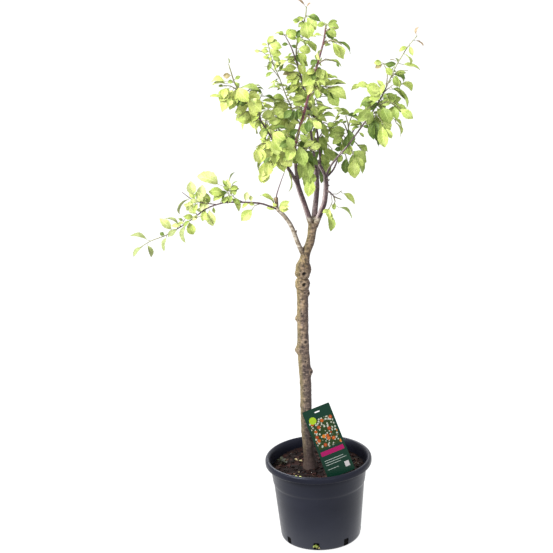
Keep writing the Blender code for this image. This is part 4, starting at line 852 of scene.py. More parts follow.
        (0, 85, 182, -5, 54, 26, "yellow", 42), (0, 80, 0, -10, 54, 16, "green"), (0, 87, 10, 25, 18, 50, "green"), (0, 86, 190, -10, 16, 62, "green"),
        (0, 86, 340, -55, 17, 42, "green"), (0, 82, 338, -52, 48, 66, "yellow"), (0, 80, 200, -62, 36, 60, "yellow"),
        (1, 40, 205, -58, 62, 44, "yellow"), (1, 55, 205, -45, 46, 58, "yellow"), (1, 75, 250, -50, 34, 50, "yellow"),
        (1, 20, 210, -62, 50, 50, "lime"), (1, 80, 170, 0, 16, 50, "green"), (2, 98, 178, 11, 36, 26, "lime"),
        (2, 70, 240, -40, 30, 56, "lime"), (8, 8, 180, 22, 42, 52, "dark"), (8, 50, 182, 0, 36, 38, "dark"),
        (2, 40, 250, -35, 26, 62, "dark"), (0, 68, 200, -60, 20, 60, "dark"), (8, 90, 185, 10, 26, 40, "dark"),
        (6, 75, 0, -14, 36, 26, "dark"), (6, 98, 8, 8, 28, 15, "green"), (6, 90, 5, -6, 36, 12, "green"),
        (6, 30, 340, -45, 54, 64, "yellow"), (6, 45, 350, -20, 38, 44, "yellow"), (4, 75, 260, -75, 30, 54, "lime"),
        (0, 61, 190, -20, 40, 52, "yellow"), (0, 64, 330, -60, 40, 56, "yellow"), (3, 20, 200, -10, 40, 50, "yellow"),
        (3, 40, 190, -25, 38, 60, "lime"), (3, 70, 170, 10, 22, 60, "lime"), (5, 30, 184, 8, 54, 56, "lime"),
        (5, 60, 186, 12, 40, 50, "yellow"), (0, 50, 182, 5, 46, 58, "lime"), (0, 47, 0, 30, 38, 54, "lime"),
        (0, 52, 250, -20, 36, 60, "lime"), (5, 95, 200, -65, 27, 28, "lime"), (0, 43, 185, -20, 18, 54, "lime"),
        (0, 41, 250, -70, 34, 48, "lime"), (0, 38, 200, -40, 16, 52, "green"), (0, 40, 300, -60, 22, 56, "green"),
        (7, 60, 10, 20, 42, 44, "lime"), (7, 30, 0, 5, 36, 50, "lime"), (7, 90, 0, -15, 38, 46, "lime"),
        (4, 96, 0, -38, 44, 18, "green"), (4, 90, 0, -20, 34, 14, "dark"), (0, 37, 10, 10, 34, 50, "lime"),
        (0, 35, 200, -30, 18, 56, "lime"), (0, 33, 350, -30, 36, 54, "green"), (4, 20, 350, -10, 38, 56, "lime"), (4, 70, 0, -10, 36, 30, "lime"),
        (4, 45, 0, -5, 36, 36, "lime"),
        (0, 30, 190, -50, 26, 54, "lime"), (0, 44, 250, 0, 20, 50, "dark"), (0, 27, 0, -10, 38, 54, "green")],
    "left_skirt": [
        (4, 50, 200, -60, 48, 60, "yellow"), (4, 98, 300, -75, 38, 58, "yellow"), (4, 75, 260, -70, 46, 62, "yellow"),
        (0, 90, 180, 8, 22, 42, "lime"), (0, 98, 170, 18, 18, 40, "lime"), (0, 85, 185, 0, 28, 44, "lime"),
        (0, 98, 200, -40, 30, 54, "yellow"), (3, 100, 0, -5, 44, 22, "dark"), (3, 99, 185, -20, 20, 32, "dark"),
        (3, 90, 335, -35, 48, 60, "lime"), (3, 70, 320, -50, 46, 60, "lime"), (3, 40, 215, -30, 34, 60, "yellow"),
        (3, 50, 300, -60, 44, 62, "lime"), (1, 45, 190, -50, 38, 26, "dark"), (1, 80, 240, -76, 48, 50, "yellow"),
        (1, 95, 200, -72, 46, 50, "yellow"), (1, 30, 320, -60, 44, 60, "yellow"), (0, 62, 330, -48, 54, 62, "yellow"),
        (0, 55, 300, -75, 52, 54, "lime"), (0, 70, 250, -60, 44, 60, "lime"), (0, 45, 320, -50, 40, 56, "lime"),
        (2, 50, 250, -70, 30, 54, "lime"), (2, 90, 330, -60, 28, 44, "green"), (7, 70, 200, -72, 44, 52, "yellow"),
        (7, 98, 200, -70, 27, 54, "yellow"), (7, 55, 200, -62, 46, 54, "yellow"), (7, 85, 200, -60, 34, 60, "yellow"),
        (7, 40, 230, -66, 34, 50, "yellow"), (5, 90, 300, -50, 36, 60, "lime"), (0, 78, 215, -45, 40, 60, "yellow")],
    "front_crown": [
        (0, 78, 205, -30, 52, 52, "green"), (5, 45, 190, -18, 46, 54, "lime"), (5, 30, 320, -74, 60, 54, "green"),
        (0, 60, 310, -36, 42, 56, "dark"), (0, 90, 200, -5, 46, 56, "lime"), (0, 95, 215, -50, 44, 60, "lime"),
        (1, 10, 250, -78, 56, 60, "green"), (1, 30, 300, -75, 54, 60, "green"), (1, 80, 290, -76, 52, 56, "green"),
        (2, 40, 290, -70, 50, 56, "green"), (2, 70, 300, -76, 42, 54, "green"), (2, 92, 215, -76, 54, 50, "lime"), (3, 35, 280, -82, 68, 34, "green"),
        (2, 80, 200, -65, 40, 44, "green"), (2, 20, 330, -60, 40, 50, "dark"), (0, 50, 200, -40, 44, 60, "green"),
        (6, 50, 200, -20, 36, 50, "dark"), (6, 90, 300, -60, 40, 56, "green"), (0, 20, 330, -50, 34, 50, "dark"),
        (0, 70, 20, 20, 36, 44, "lime"), (4, 60, 20, 10, 34, 50, "lime")],
    "right_crown": [
        (0, 96, 0, -38, 29, 13, "young"), (0, 99, 20, 72, 25, 15, "young"), (0, 90, 190, -28, 26, 40, "lime"),
        (0, 91, 300, -60, 28, 46, "lime"), (0, 75, 0, -20, 56, 34, "lime", 25), (0, 76, 180, 10, 24, 18, "straw"),
        (1, 98, 182, 2, 22, 70, "lime"), (1, 95, 190, -25, 22, 60, "straw"), (1, 92, 0, 0, 30, 46, "dark"),
        (1, 85, 340, -50, 30, 56, "lime"), (1, 97, 20, -20, 26, 50, "green"), (0, 66, 0, 0, 32, 40, "green"),
        (0, 66, 350, -25, 34, 38, "dark"), (0, 64, 345, -50, 34, 50, "green"), (2, 10, 0, -37, 62, 26, "lime", 50),
        (0, 50, 172, 22, 46, 62, "lime"), (0, 52, 150, 50, 30, 40, "lime"),
        (0, 47, 195, -32, 52, 34, "green"), (0, 52, 185, 4, 44, 62, "lime"), (0, 49, 190, -15, 38, 56, "lime"),
        (4, 60, 180, 12, 44, 28, "lime"), (4, 98, 185, -20, 36, 30, "lime"), (0, 46, 185, -22, 56, 22, "green"),
        (4, 15, 190, -18, 44, 26, "green"), (5, 40, 190, -42, 54, 50, "green"), (5, 10, 200, -66, 42, 46, "green"),
        (5, 60, 170, 20, 26, 52, "dark"), (4, 30, 200, -45, 44, 42, "green"),
        (5, 98, 190, -20, 36, 30, "green"), (1, 20, 200, -60, 40, 40, "lime"), (0, 50, 350, -30, 34, 40, "green"), (0, 43, 190, -40, 34, 46, "dark"), (0, 20, 185, 15, 36, 26, "lime"),
        (0, 21, 182, -4, 32, 36, "green"), (0, 19, 190, -20, 28, 32, "green"), (0, 22, 180, 32, 30, 26, "green"),
        (0, 19, 0, -10, 18, 60, "dark"), (0, 14, 350, -45, 20, 44, "green"), (3, 42, 350, -44, 46, 34, "green"),
        (3, 30, 355, -25, 38, 28, "dark"), (3, 70, 345, -66, 62, 18, "green", 22), (6, 20, 340, -66, 52, 62, "green"),
        (6, 45, 10, 10, 34, 50, "green"), (6, 40, 340, -20, 40, 34, "green"), (6, 30, 0, 32, 38, 54, "green"), (6, 60, 350, -32, 44, 46, "green"),
        (6, 88, 350, -38, 46, 46, "lime"), (6, 70, 300, -70, 38, 50, "green"), (6, 10, 350, 20, 36, 50, "green"),
        (0, 45, 350, -10, 36, 54, "dark"), (9, 35, 300, -72, 58, 58, "lime"), (9, 45, 300, -76, 46, 44, "green"),
        (9, 75, 350, -50, 40, 22, "lime"), (9, 94, 350, -74, 42, 12, "lime"), (9, 20, 250, -70, 40, 54, "green"),
        (7, 30, 280, -80, 60, 46, "dark"), (7, 55, 310, -70, 46, 44, "green"), (7, 75, 300, -80, 62, 50, "lime"),
        (7, 98, 350, -60, 34, 46, "lime"), (7, 25, 260, -82, 56, 34, "dark"), (8, 50, 345, -74, 52, 26, "dark"),
        (8, 10, 350, -30, 34, 40, "dark"), (9, 45, 0, 0, 36, 56, "lime"), (0, 38, 340, -60, 40, 52, "green")],
    "right_skirt": [
        (2, 45, 250, -80, 44, 58, "dark"), (2, 80, 330, -78, 28, 52, "green"), (1, 95, 280, -80, 56, 58, "lime"),
        (1, 90, 345, -66, 54, 32, "green"), (1, 50, 348, -42, 52, 54, "green"), (1, 70, 300, -72, 44, 60, "green"),
        (1, 90, 340, -50, 38, 46, "lime"), (3, 60, 350, -50, 32, 34, "lime"), (3, 50, 345, -36, 36, 34, "green"),
        (0, 42, 200, -60, 32, 66, "green"), (0, 38, 300, -64, 36, 64, "lime"), (0, 34, 250, -50, 30, 60, "green"),
        (0, 22, 185, -5, 22, 56, "dark"), (0, 60, 185, -10, 46, 60, "green"), (0, 75, 300, -72, 50, 44, "dark"),
        (0, 62, 250, -75, 44, 40, "dark"), (0, 66, 178, 2, 42, 46, "green"),
        (6, 50, 200, -30, 36, 56, "green"), (5, 98, 178, 20, 42, 44, "green"), (0, 100, 0, -8, 30, 36, "dark"),
        (4, 80, 0, 22, 16, 52, "green"), (4, 98, 10, 40, 40, 18, "green"), (4, 60, 10, 8, 14, 50, "green"), (4, 98, 200, -30, 20, 60, "green"),
        (4, 95, 20, 40, 20, 40, "lime"), (0, 55, 0, -35, 24, 60, "green"), (2, 15, 200, -60, 26, 50, "green")],
    "back_crown": [
        (5, 50, 340, -52, 50, 64, "lime"), (0, 18, 340, -45, 60, 42, "green", 24), (0, 20, 300, -70, 34, 46, "dark"),
        (0, 5, 330, -70, 58, 44, "green"), (0, 4, 250, -60, 42, 54, "dark"), (0, 1, 280, -84, 38, 50, "green"),
        (0, 1, 270, -86, 64, 34, "dark", 36), (0, 10, 330, -56, 44, 48, "green"), (0, 12, 200, -50, 36, 50, "dark"),
        (8, 30, 250, -60, 38, 50, "green"), (8, 20, 300, -60, 30, 46, "green"), (8, 80, 330, -40, 26, 44, "green"),
        (1, 30, 300, -50, 38, 54, "green"), (1, 60, 340, -50, 34, 48, "green"), (1, 95, 350, -20, 26, 44, "lime"),
        (1, 80, 20, 20, 28, 40, "green"), (0, 35, 200, -40, 36, 54, "lime"), (0, 28, 330, -50, 42, 50, "green"),
        (5, 80, 250, -60, 38, 56, "dark"), (5, 20, 200, -30, 36, 52, "green"), (0, 45, 340, -30, 36, 50, "green"),
        (0, 42, 190, -30, 36, 50, "dark"), (0, 62, 345, -10, 40, 46, "lime"), (0, 66, 330, -50, 38, 56, "lime"),
        (0, 54, 345, -30, 40, 44, "lime"), (3, 40, 340, -60, 40, 40, "lime"), (0, 25, 200, -60, 38, 54, "dark")],
    "back_left_crown": [
        (2, 80, 320, -60, 40, 58, "dark"), (2, 40, 200, -10, 36, 50, "green"), (0, 1, 275, -78, 62, 16, "lime", 15),
        (6, 80, 300, -40, 36, 50, "green"), (6, 40, 330, -50, 40, 52, "dark"), (1, 50, 200, -50, 36, 56, "lime"),
        (0, 30, 330, -40, 40, 50, "dark"), (0, 60, 330, -20, 40, 56, "lime"), (0, 72, 345, 0, 40, 56, "lime")],
}
# Where the crown is closed as seen from the front: middle and half sizes across and up
CLOSED = [(-0.035, 1.110, 0.060, 0.056), (-0.150, 1.165, 0.036, 0.026), (-0.100, 1.085, 0.030, 0.034),
          (0.187, 1.160, 0.020, 0.055), (0.000, 1.215, 0.024, 0.045), (0.035, 1.115, 0.040, 0.036),
          (0.050, 1.060, 0.030, 0.036)]
SHOWN_EDGE = 0.0048

Twig = namedtuple("Twig", "path foot tip order")
Leaf = namedtuple("Leaf", "root along face length width tone stalk", defaults=["", PETIOLE])


def spot_on(path, share):
    """The place at a share of a path's length, and the direction there."""
    at = lengths_along(path)
    goal = share * at[-1]
    last = len(path) - 2
    k = next((k for k in range(last) if goal <= at[k + 1]), last)
    start, end = path[k], path[k + 1]
    part = (goal - at[k]) / (at[k + 1] - at[k])
    return start.lerp(end, part), (end - start).normalized()


def sideways(along, turn):
    """A direction square to a twig, turned about it."""
    side = along.cross(UP)
    if side.length < 0.05:
        side = Vector((1, 0, 0))
    return Quaternion(along, turn) @ side.normalized()


def heading(turn, rise):
    """The direction with a heading round Z and a rise, both in degrees."""
    turn, rise = radians(turn), radians(rise)
    return Vector((cos(turn) * cos(rise), sin(turn) * cos(rise), sin(rise)))


def side_path(root, along, reach):
    """A side twig leaves its stem forwards and bends over to its tip."""
    length = reach.length
    bend = root + along * (0.22 * length) + reach * 0.38 + UP * (0.03 * length)
    return smooth_path([root, bend, root + reach], 0.05)


def leaf_from(rng, root, out, length, droop, tone=""):
    """One leaf that starts at root, points out, hangs by droop and turns its face to the light."""
    along = (out - UP * (droop + HANG)).normalized()
    outward = Vector((root.x, root.y, 0))
    outward = outward.normalized() if outward.length > 0.02 else Vector()
    chance = Vector((rng.gauss(0, 0.38), rng.gauss(0, 0.38), rng.gauss(0, 0.23)))
    face = UP * 0.5 + outward * 0.35 + chance
    face -= along * face.dot(along)
    face = face.normalized() if face.length > 0.1 else sideways(along, 0.5)
    return Leaf(root, along, face, length, length * rng.uniform(0.46, 0.60), tone)


def shown_leaf(rng, path, share, turn, rise, length, breadth, tone, stalk=PETIOLE):
    """One leaf as it shows from the front, turned so far that just its breadth is seen."""
    along = heading(turn, rise)
    front = Vector((0, -0.95, 0.31))
    front = (front - along * front.dot(along)).normalized()
    width = min(max(breadth / 89, 0.50), 0.78)
    away = acos(min(breadth / 89 / width, 1))
    face = max((Quaternion(along, side * away) @ front for side in (-1, 1)), key=lambda way: way.z)
    face = Quaternion(along, rng.uniform(-0.2, 0.2)) @ face
    return Leaf(spot_on(path, share / 100)[0], along, face, length / 1070, width * length / 1070, tone, stalk)


def grow_flank_leaves(mass, stem):
    """Leaves that head away from the front or towards it, so that a side view finds its stem in leaf."""
    rng = random.Random(mass.seed + 900)
    first, last, count = FLANK_LEAVES.get(mass.name, (0, 0, 0))
    leaves = []
    for k in range(count):
        turn = rng.uniform(78, 102) if k % 3 < 2 else rng.choice((252, 288)) + rng.uniform(-6, 6)
        leaves.append(shown_leaf(rng, stem.path, first + (last - first) * k / count, turn, rng.uniform(-38, -6),
                                 rng.uniform(38, 54), 12, rng.choice(("lime", "green"))))
    return leaves


def leaf_spots(leaf):
    """Points that stand for a leaf where its space is tested: the tip, the edges and the middle."""
    side = leaf.along.cross(leaf.face) * leaf.width
    places = [(1, 0), (0.70, 0.46), (0.70, -0.46), (0.30, 0.42), (0.30, -0.42), (0.5, 0)]
    return [leaf.root + leaf.along * (leaf.length * share) + side * part for share, part in places]


def grow_twigs(mass, rng):
    """The stem, its main side twigs and the finer ones, which turn round it by the golden angle."""
    start = next(limb.line[-1] for limb in LIMBS if limb.name == mass.bough)
    stem = smooth_path([start, *mass.line], 0.03)
    twigs = [Twig(stem, mass.foot, mass.tip, 0)]
    for share, length, turn, rise in mass.side_twigs:
        root, along = spot_on(stem, share)
        twigs.append(Twig(side_path(root, along, heading(turn, rise) * length), TWIG_ROOT, TWIG_TIP, 1))
    turn = rng.uniform(0, 2 * pi)
    for k in range(mass.fine_twigs):
        share = mass.bare + (0.95 - mass.bare) * (k + rng.uniform(0.3, 0.7)) / mass.fine_twigs
        root, along = spot_on(stem, share)
        turn += GOLDEN_TURN + rng.uniform(-0.3, 0.3)
        lean = radians(rng.uniform(50, 70))
        way = along * cos(lean) + sideways(along, turn) * sin(lean) - UP * 0.12
        length = mass.reach * rng.uniform(0.7, 1.1) * (1.15 - 0.5 * share)
        twigs.append(Twig(side_path(root, along, way * length), TWIG_ROOT, TWIG_TIP, 2))
    return twigs


def grow_stem_leaves(mass, stem, rng):
    """Clusters of leaves on short spurs up the stem, smaller towards its tip."""
    leaves = []
    total = lengths_along(stem.path)[-1]
    at = mass.bare * total
    turn = rng.uniform(0, 2 * pi)
    while at < total - 0.012:
        share = at / total
        root, along = spot_on(stem.path, share)
        turn += GOLDEN_TURN + rng.uniform(-0.35, 0.35)
        out = sideways(along, turn)
        fade = 1 - 0.5 * max(0, share - 0.8) / 0.2
        count = max(1, round(mass.cluster * fade + rng.uniform(-0.5, 0.5)))
        start = rng.uniform(0, 2 * pi)
        for k in range(count):
            around = Quaternion(out, start + 2 * pi * k / count + rng.uniform(-0.3, 0.3)) @ along
            spread = radians(rng.uniform(35, 65))
            way = (out * cos(spread) + around * sin(spread) + along * 0.15).normalized()
            length = mass.leaf * fade * rng.uniform(0.75, 1.1)
            droop = mass.droop * rng.uniform(0.3, 1.5)
            leaves.append(leaf_from(rng, root, way, length, droop))
        at += mass.spacing * rng.uniform(0.8, 1.2)
    return leaves


def grow_twig_leaves(mass, twig, rng):
    """Single leaves, alternate along a side twig."""
    leaves = []
    total = lengths_along(twig.path)[-1]
    at = rng.uniform(0.012, 0.022)
    turn = rng.uniform(0, 2 * pi)
    while at < total - 0.010:
        share = at / total
        root, along = spot_on(twig.path, share)
        turn += GOLDEN_TURN + rng.uniform(-0.35, 0.35)
        lean = radians(rng.uniform(50, 75))
        way = along * cos(lean) + sideways(along, turn) * sin(lean)
        length = mass.leaf * rng.uniform(0.75, 1.05) * (1 - 0.2 * share)
        leaves.append(leaf_from(rng, root, way, length, mass.droop * rng.uniform(0.3, 1.5)))
        at += rng.uniform(0.018, 0.028)
    return leaves


def grow_tip_leaves(mass, twig, rng):
    """Three leaves round the tip of a twig, the first of them in line with it."""
    leaves = []
    tip, along = spot_on(twig.path, 1)
    start = rng.uniform(0, 2 * pi)
    scale = 0.45 if twig.order == 0 else 0.85
    for k in range(3):
        lean = radians(18 if k == 0 else rng.uniform(35, 60))
        way = along * cos(lean) + sideways(along, start + 2 * pi * k / 3) * sin(lean)
        length = mass.leaf * scale * rng.uniform(0.8, 1.0)
        leaves.append(leaf_from(rng, tip - along * 0.003, way, length, mass.droop * rng.uniform(0.2, 0.9)))
    return leaves


def grow_mass(mass):
    """All twigs of a mass, with each one's leaves and its tip's leaves."""
    rng = random.Random(mass.seed)
    twigs = grow_twigs(mass, rng)
    leaves = []
    for twig in twigs:
        own = grow_stem_leaves if twig.order == 0 else grow_twig_leaves
        leaves.append((own(mass, twig, rng), grow_tip_leaves(mass, twig, rng)))
    return twigs, leaves


def point_tree(points):
    tree = kdtree.KDTree(len(points))
    for k, point in enumerate(points):
        tree.insert(point, k)
    tree.balance()
    return tree


def fine_points(path, step=0.004):
    """Points no further than a step apart on the straight pieces of a path."""
    points = []
    for start, end in zip(path, path[1:]):
        count = ceil((end - start).length / step)
        points += [start.lerp(end, k / count) for k in range(count)]
    return points + [path[-1]]


def over_main_stem(spot):
    """True just in front of the middle shoot, which is bare and red over two long ways."""
    if not (1.10 < spot.z < 1.222 or 1.272 < spot.z < 1.345):
        return False
    stem = MAIN_STEM.at(spot.z)
    return spot.y < stem.y + 0.004 and abs(spot.x - stem.x) < 0.007


def from_front(spot):
    """The place in the plane y = 0 that a spot covers, or is hidden by, as seen from the front."""
    return VIEWPOINT + (spot - VIEWPOINT) * (VIEWPOINT.y / (VIEWPOINT.y - spot.y))


class Crown:
    """What a twig or a leaf keeps clear of: limbs, other masses, earlier leaves and the open sky."""

    def __init__(self, grown, shown):
        self.radii = []
        points = []
        solids = [(smooth_path(TRUNK_LINE, 0.0065), None)]
        solids += [(smooth_path(limb.line, 0.016), limb) for limb in LIMBS]
        for path, limb in solids:
            fine = fine_points(path)
            for k, point in enumerate(fine):
                share = k / (len(fine) - 1)
                radius = limb.foot + (limb.tip - limb.foot) * share if limb else 1.3 * TRUNK_RADIUS
                self.radii.append(radius)
            points += fine
        self.limbs = point_tree(points)
        self.masses = {name: point_tree([point for twig in twigs for point in fine_points(twig.path)])
                       for name, (twigs, leaves) in grown.items()}
        self.middles = [leaf_spots(leaf)[-1] for leaf in shown]
        spots = [leaf.root + leaf.along * (leaf.length * share) + leaf.along.cross(leaf.face) * (leaf.width * side)
                 for leaf in shown for share in (0.25, 0.4, 0.55, 0.7, 0.85, 1.0)
                 for side in ((-0.3, 0, 0.3) if share < 0.9 else (0,))]
        self.shown = point_tree([from_front(spot) for spot in spots])
        self.depths = [spot.y for spot in spots]

    def shows_wrong(self, spots):
        """True where a leaf would fill open sky or hide one of the leaves that show from the front."""
        for spot in spots:
            place = from_front(spot)
            closed = any(((place.x - x) / wide) ** 2 + ((place.z - z) / high) ** 2 < 1 for x, z, wide, high in CLOSED)
            near = self.shown.find_range(place, SHOWN_EDGE)
            if not near and not closed or any(spot.y < self.depths[index] for _, index, _ in near):
                return True
        return False

    def clear_of_limbs(self, points, room):
        for point in points:
            place, k, distance = self.limbs.find(point)
            if distance < self.radii[k] + room:
                return False
        return True

    def in_own_space(self, name, points, room):
        """True where each point is nearer to its own mass's twigs than to those of any other."""
        for point in points:
            own = self.masses[name].find(point)[2]
            for other, tree in self.masses.items():
                if other != name and tree.find(point)[2] < own + room:
                    return False
        return True

    def takes_twig(self, name, twig):
        points = fine_points(twig.path)[2:]
        return self.clear_of_limbs(points, 0.004) and self.in_own_space(name, points, 0.005)

    def takes_leaf(self, name, leaf, crowd=LEAF_CROWD):
        spots = leaf_spots(leaf)
        if any((spots[-1] - other).length < crowd for other in self.middles):
            return False
        if self.shows_wrong(spots) or name != "top_crown" and any(over_main_stem(spot) for spot in spots):
            return False
        if not (self.clear_of_limbs(spots, LEAF_ROOM) and self.in_own_space(name, spots, LEAF_ROOM)):
            return False
        self.middles.append(spots[-1])
        return True


class Heights:
    """The middle shoot's place at a height."""

    def __init__(self, path):
        self.path = path

    def at(self, height):
        start, end = next(((a, b) for a, b in zip(self.path, self.path[1:]) if a.z <= height <= b.z),
                          self.path[-2:])
        return start.lerp(end, (height - start.z) / (end.z - start.z))


grown = {mass.name: grow_mass(mass) for mass in MASSES}
MAIN_STEM = Heights(grown["centre_crown"][0][0].path)
VIEWPOINT = Vector((-0.09, -4.0, 2.046))
shown = {}
for name, leaves in SHOWN_LEAVES.items():
    rng = random.Random(len(leaves))
    twigs, leaf_sets = grown[name]
    for share, length, turn, rise, radius in FINER_TWIGS.get(name, ()):
        root, along = spot_on(twigs[0].path, share)
        twigs.append(Twig(side_path(root, along, heading(turn, rise) * length), radius, TWIG_TIP, 3))
        leaf_sets.append(([], []))
    shown[name] = [[] for twig in twigs]
    for index, *place in leaves:
        shown[name][index].append(shown_leaf(rng, twigs[index].path, *place))
crown = Crown(grown, [leaf for sets in shown.values() for leaves in sets for leaf in leaves])
kept = {}
for mass in MASSES:
    twigs, leaf_sets = grown[mass.name]
    kept[mass.name] = []
    for k, (twig, (own, at_tip)) in enumerate(zip(twigs, leaf_sets)):
        front = shown[mass.name][k] if mass.name in shown else []
        if k == 0:
            front = front + grow_flank_leaves(mass, twig)
        grows = mass.name in COMPANY and (twig.order != 1 and twig.order != 2 or crown.takes_twig(mass.name, twig))
        own = [leaf for leaf in own if grows and crown.takes_leaf(mass.name, leaf)]
        at_tip = [leaf for leaf in at_tip if grows and crown.takes_leaf(mass.name, leaf)]
        if front or own or at_tip or twig.order == 0 or twig.order == 3:
            kept[mass.name].append((twig, front + own, at_tip))
for mass in MASSES:
    rng = random.Random(mass.seed + 500)
    for twig, own, at_tip in kept[mass.name]:
        for leaf in own + at_tip:
            for _ in range(int(COMPANY.get(mass.name, 0) + rng.random()) if not leaf.tone else 0):
                way = Quaternion(UP, rng.choice((-1, 1)) * rng.uniform(0.6, 2.4)) @ leaf.along
                other = leaf_from(rng, leaf.root, way, leaf.length * rng.uniform(0.7, 1.0),
                                  mass.droop * rng.uniform(0.4, 1.8))
                if crown.takes_leaf(mass.name, other, COMPANY_CROWD):
                    own.append(other)

shoot_finish, tree, shader = finish("shoot_bark", (0.05, 0.03, 0.03), 0.38)
tints = node(tree, "Attribute", {}, attribute_name="shoot_tint")
parts = node(tree, "SeparateColor", {"Color": tints.outputs["Color"]})
mottle = node(tree, "TexNoise", {"Vector": spots_on(tree, (1, 1, 1)), "Scale": 260.0, "Detail": 4.0})
dull = ramp(tree, mottle.outputs["Fac"], [(0.35, (0.016, 0.006, 0.009)), (0.65, (0.042, 0.020, 0.022))])
red = ramp(tree, mottle.outputs["Fac"], [(0.35, (0.040, 0.006, 0.012)), (0.65, (0.085, 0.016, 0.022))])
green = ramp(tree, mottle.outputs["Fac"], [(0.35, (0.080, 0.085, 0.022)), (0.65, (0.150, 0.160, 0.045))])
skin = blend_of(tree, parts.outputs["Red"], dull, red)
skin = blend_of(tree, parts.outputs["Green"], skin, green)
tree.links.new(skin, shader.inputs["Base Color"])
bump(tree, shader, mottle.outputs["Fac"], 0.0002)

# Stems that are thinner than they were packed
SLENDER = {"low_left_shoot": 0.56, "left_spray": 0.8, "upper_left_crown": 0.62, "right_crown": 0.8,
           "centre_crown": 1.2}
for mass in MASSES:
    shoots = bmesh.new()
    tint = shoots.verts.layers.float_color.new("shoot_tint")
    for twig, own, at_tip in kept[mass.name]:
        path = smooth_path(twig.path, 0.012)
        scale = SLENDER.get(mass.name, 1.0)
        rings, faces = limb_into(shoots, path, taper(path, twig.foot * scale, twig.tip * scale),
                                 8 if twig.order == 0 else 6)
        for k, ring in enumerate(rings):
            share = k / (len(rings) - 1)
            green = step_up(mass.green_from, min(1, mass.green_from + 0.3), share) if twig.order == 0 \
                else 0.0 if twig.foot > 0.002 or twig is grown["left_spray"][0][1] else 0.35 + 0.55 * share
            for vert in ring:
                vert[tint] = (mass.red, green, 0, 1)
        for leaf in own + at_tip:
            start = leaf.root - leaf.along * 0.0005
            end = leaf.root + leaf.along * (leaf.length * (leaf.stalk + 2) / 100)
            rings, faces = limb_into(shoots, [start, (start + end) / 2 - UP * 0.0004, end],
                                     lambda k, spot, around: 0.0009 - 0.0002 * k, 4)
            for ring in rings:
                for vert in ring:
                    vert[tint] = (0.25, 0.85, 0, 1)
    shoots = piece_of("shoots_" + mass.name, shoots, [shoot_finish])
    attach(shoots, "root")
    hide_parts(mass.name)

# The leaves: thin, soft, finely toothed blades with an upturned pair of halves and a drooping tip.
# Their tints are painted light and shade: yellow-green where the light comes through them, dark green in the crown's
# shade; each twig's leaves mostly share one tint.
# Lit and shaded copies of one leaf colour, from painted light in yellow, pale and lime to painted shade in green and
# dark; young, sage and straw are the leaves' own colours.
LEAF_TINTS = {
    "yellow": ((0.262, 0.312, 0.060), (0.325, 0.365, 0.112)),
    "pale": ((0.285, 0.330, 0.100), (0.340, 0.375, 0.160)),
    "lime": ((0.205, 0.264, 0.050), (0.285, 0.333, 0.098)),
    "green": ((0.124, 0.176, 0.032), (0.192, 0.243, 0.060)),
    "dark": ((0.044, 0.080, 0.012), (0.082, 0.124, 0.024)),
    "olive": ((0.150, 0.180, 0.062), (0.215, 0.245, 0.100)),
    "young": ((0.175, 0.115, 0.062), (0.245, 0.185, 0.112)),
    "sage": ((0.001, 0.003, 0.001), (0.014, 0.016, 0.005)),
    "straw": ((0.160, 0.130, 0.055), (0.240, 0.205, 0.100)),
}
LEAF_STEPS = 12


def leaf_finish(name, dark, light):
    """A leaf's upper and lower skin: pale veins on the blade's own coordinates, and a soft gloss."""
    material, tree, shader = finish(name, light, 0.5)
    place = node(tree, "UVMap", {}, uv_map="blade")
    parts = node(tree, "SeparateXYZ", {"Vector": place.outputs[0]})
    off = node(tree, "Math", {0: parts.outputs["Y"], 1: 0.5}, operation="SUBTRACT")
    off = node(tree, "Math", {0: off.outputs[0]}, operation="ABSOLUTE")
    rib = node(tree, "MapRange", {"Value": off.outputs[0], "From Min": 0.035, "From Max": 0.012})
    slant = node(tree, "Math", {0: off.outputs[0], 1: -0.42, 2: parts.outputs["X"]}, operation="MULTIPLY_ADD")
    row = node(tree, "Math", {0: slant.outputs[0], 1: 9.0}, operation="MULTIPLY")
    row = node(tree, "Math", {0: row.outputs[0]}, operation="FRACT")
    row = node(tree, "Math", {0: row.outputs[0], 1: 0.5}, operation="SUBTRACT")
    row = node(tree, "Math", {0: row.outputs[0]}, operation="ABSOLUTE")
    vein = node(tree, "MapRange", {"Value": row.outputs[0], "From Min": 0.10, "From Max": 0.03, "To Max": 0.55})
    lines = node(tree, "Math", {0: rib.outputs[0], 1: vein.outputs[0]}, operation="MAXIMUM")
    cloud = node(tree, "TexNoise", {"Vector": spots_on(tree, (1, 1, 1)), "Scale": 55.0, "Detail": 3.0})
    blade = ramp(tree, cloud.outputs["Fac"], [(0.38, dark), (0.62, light)])
    grain = node(tree, "TexNoise", {"Vector": spots_on(tree, (1, 1, 1)), "Scale": 300.0, "Detail": 4.0})
    blade = blend_of(tree, 0.6, blade, ramp(tree, grain.outputs["Fac"], [(0.38, 0.60), (0.60, 1.15)]), "MULTIPLY")
    pale = tuple(1.25 * part + 0.02 for part in light)
    faint = node(tree, "Math", {0: lines.outputs[0], 1: 0.85}, operation="MULTIPLY")
    tree.links.new(blend_of(tree, faint.outputs[0], blade, pale), shader.inputs["Base Color"])
    bump(tree, shader, lines.outputs[0], 0.0003, 0.6)
    shader.inputs["Specular IOR Level"].default_value = 0.14
    return material


finishes = {name: leaf_finish("leaf_" + name, *tones) for name, tones in LEAF_TINTS.items()}


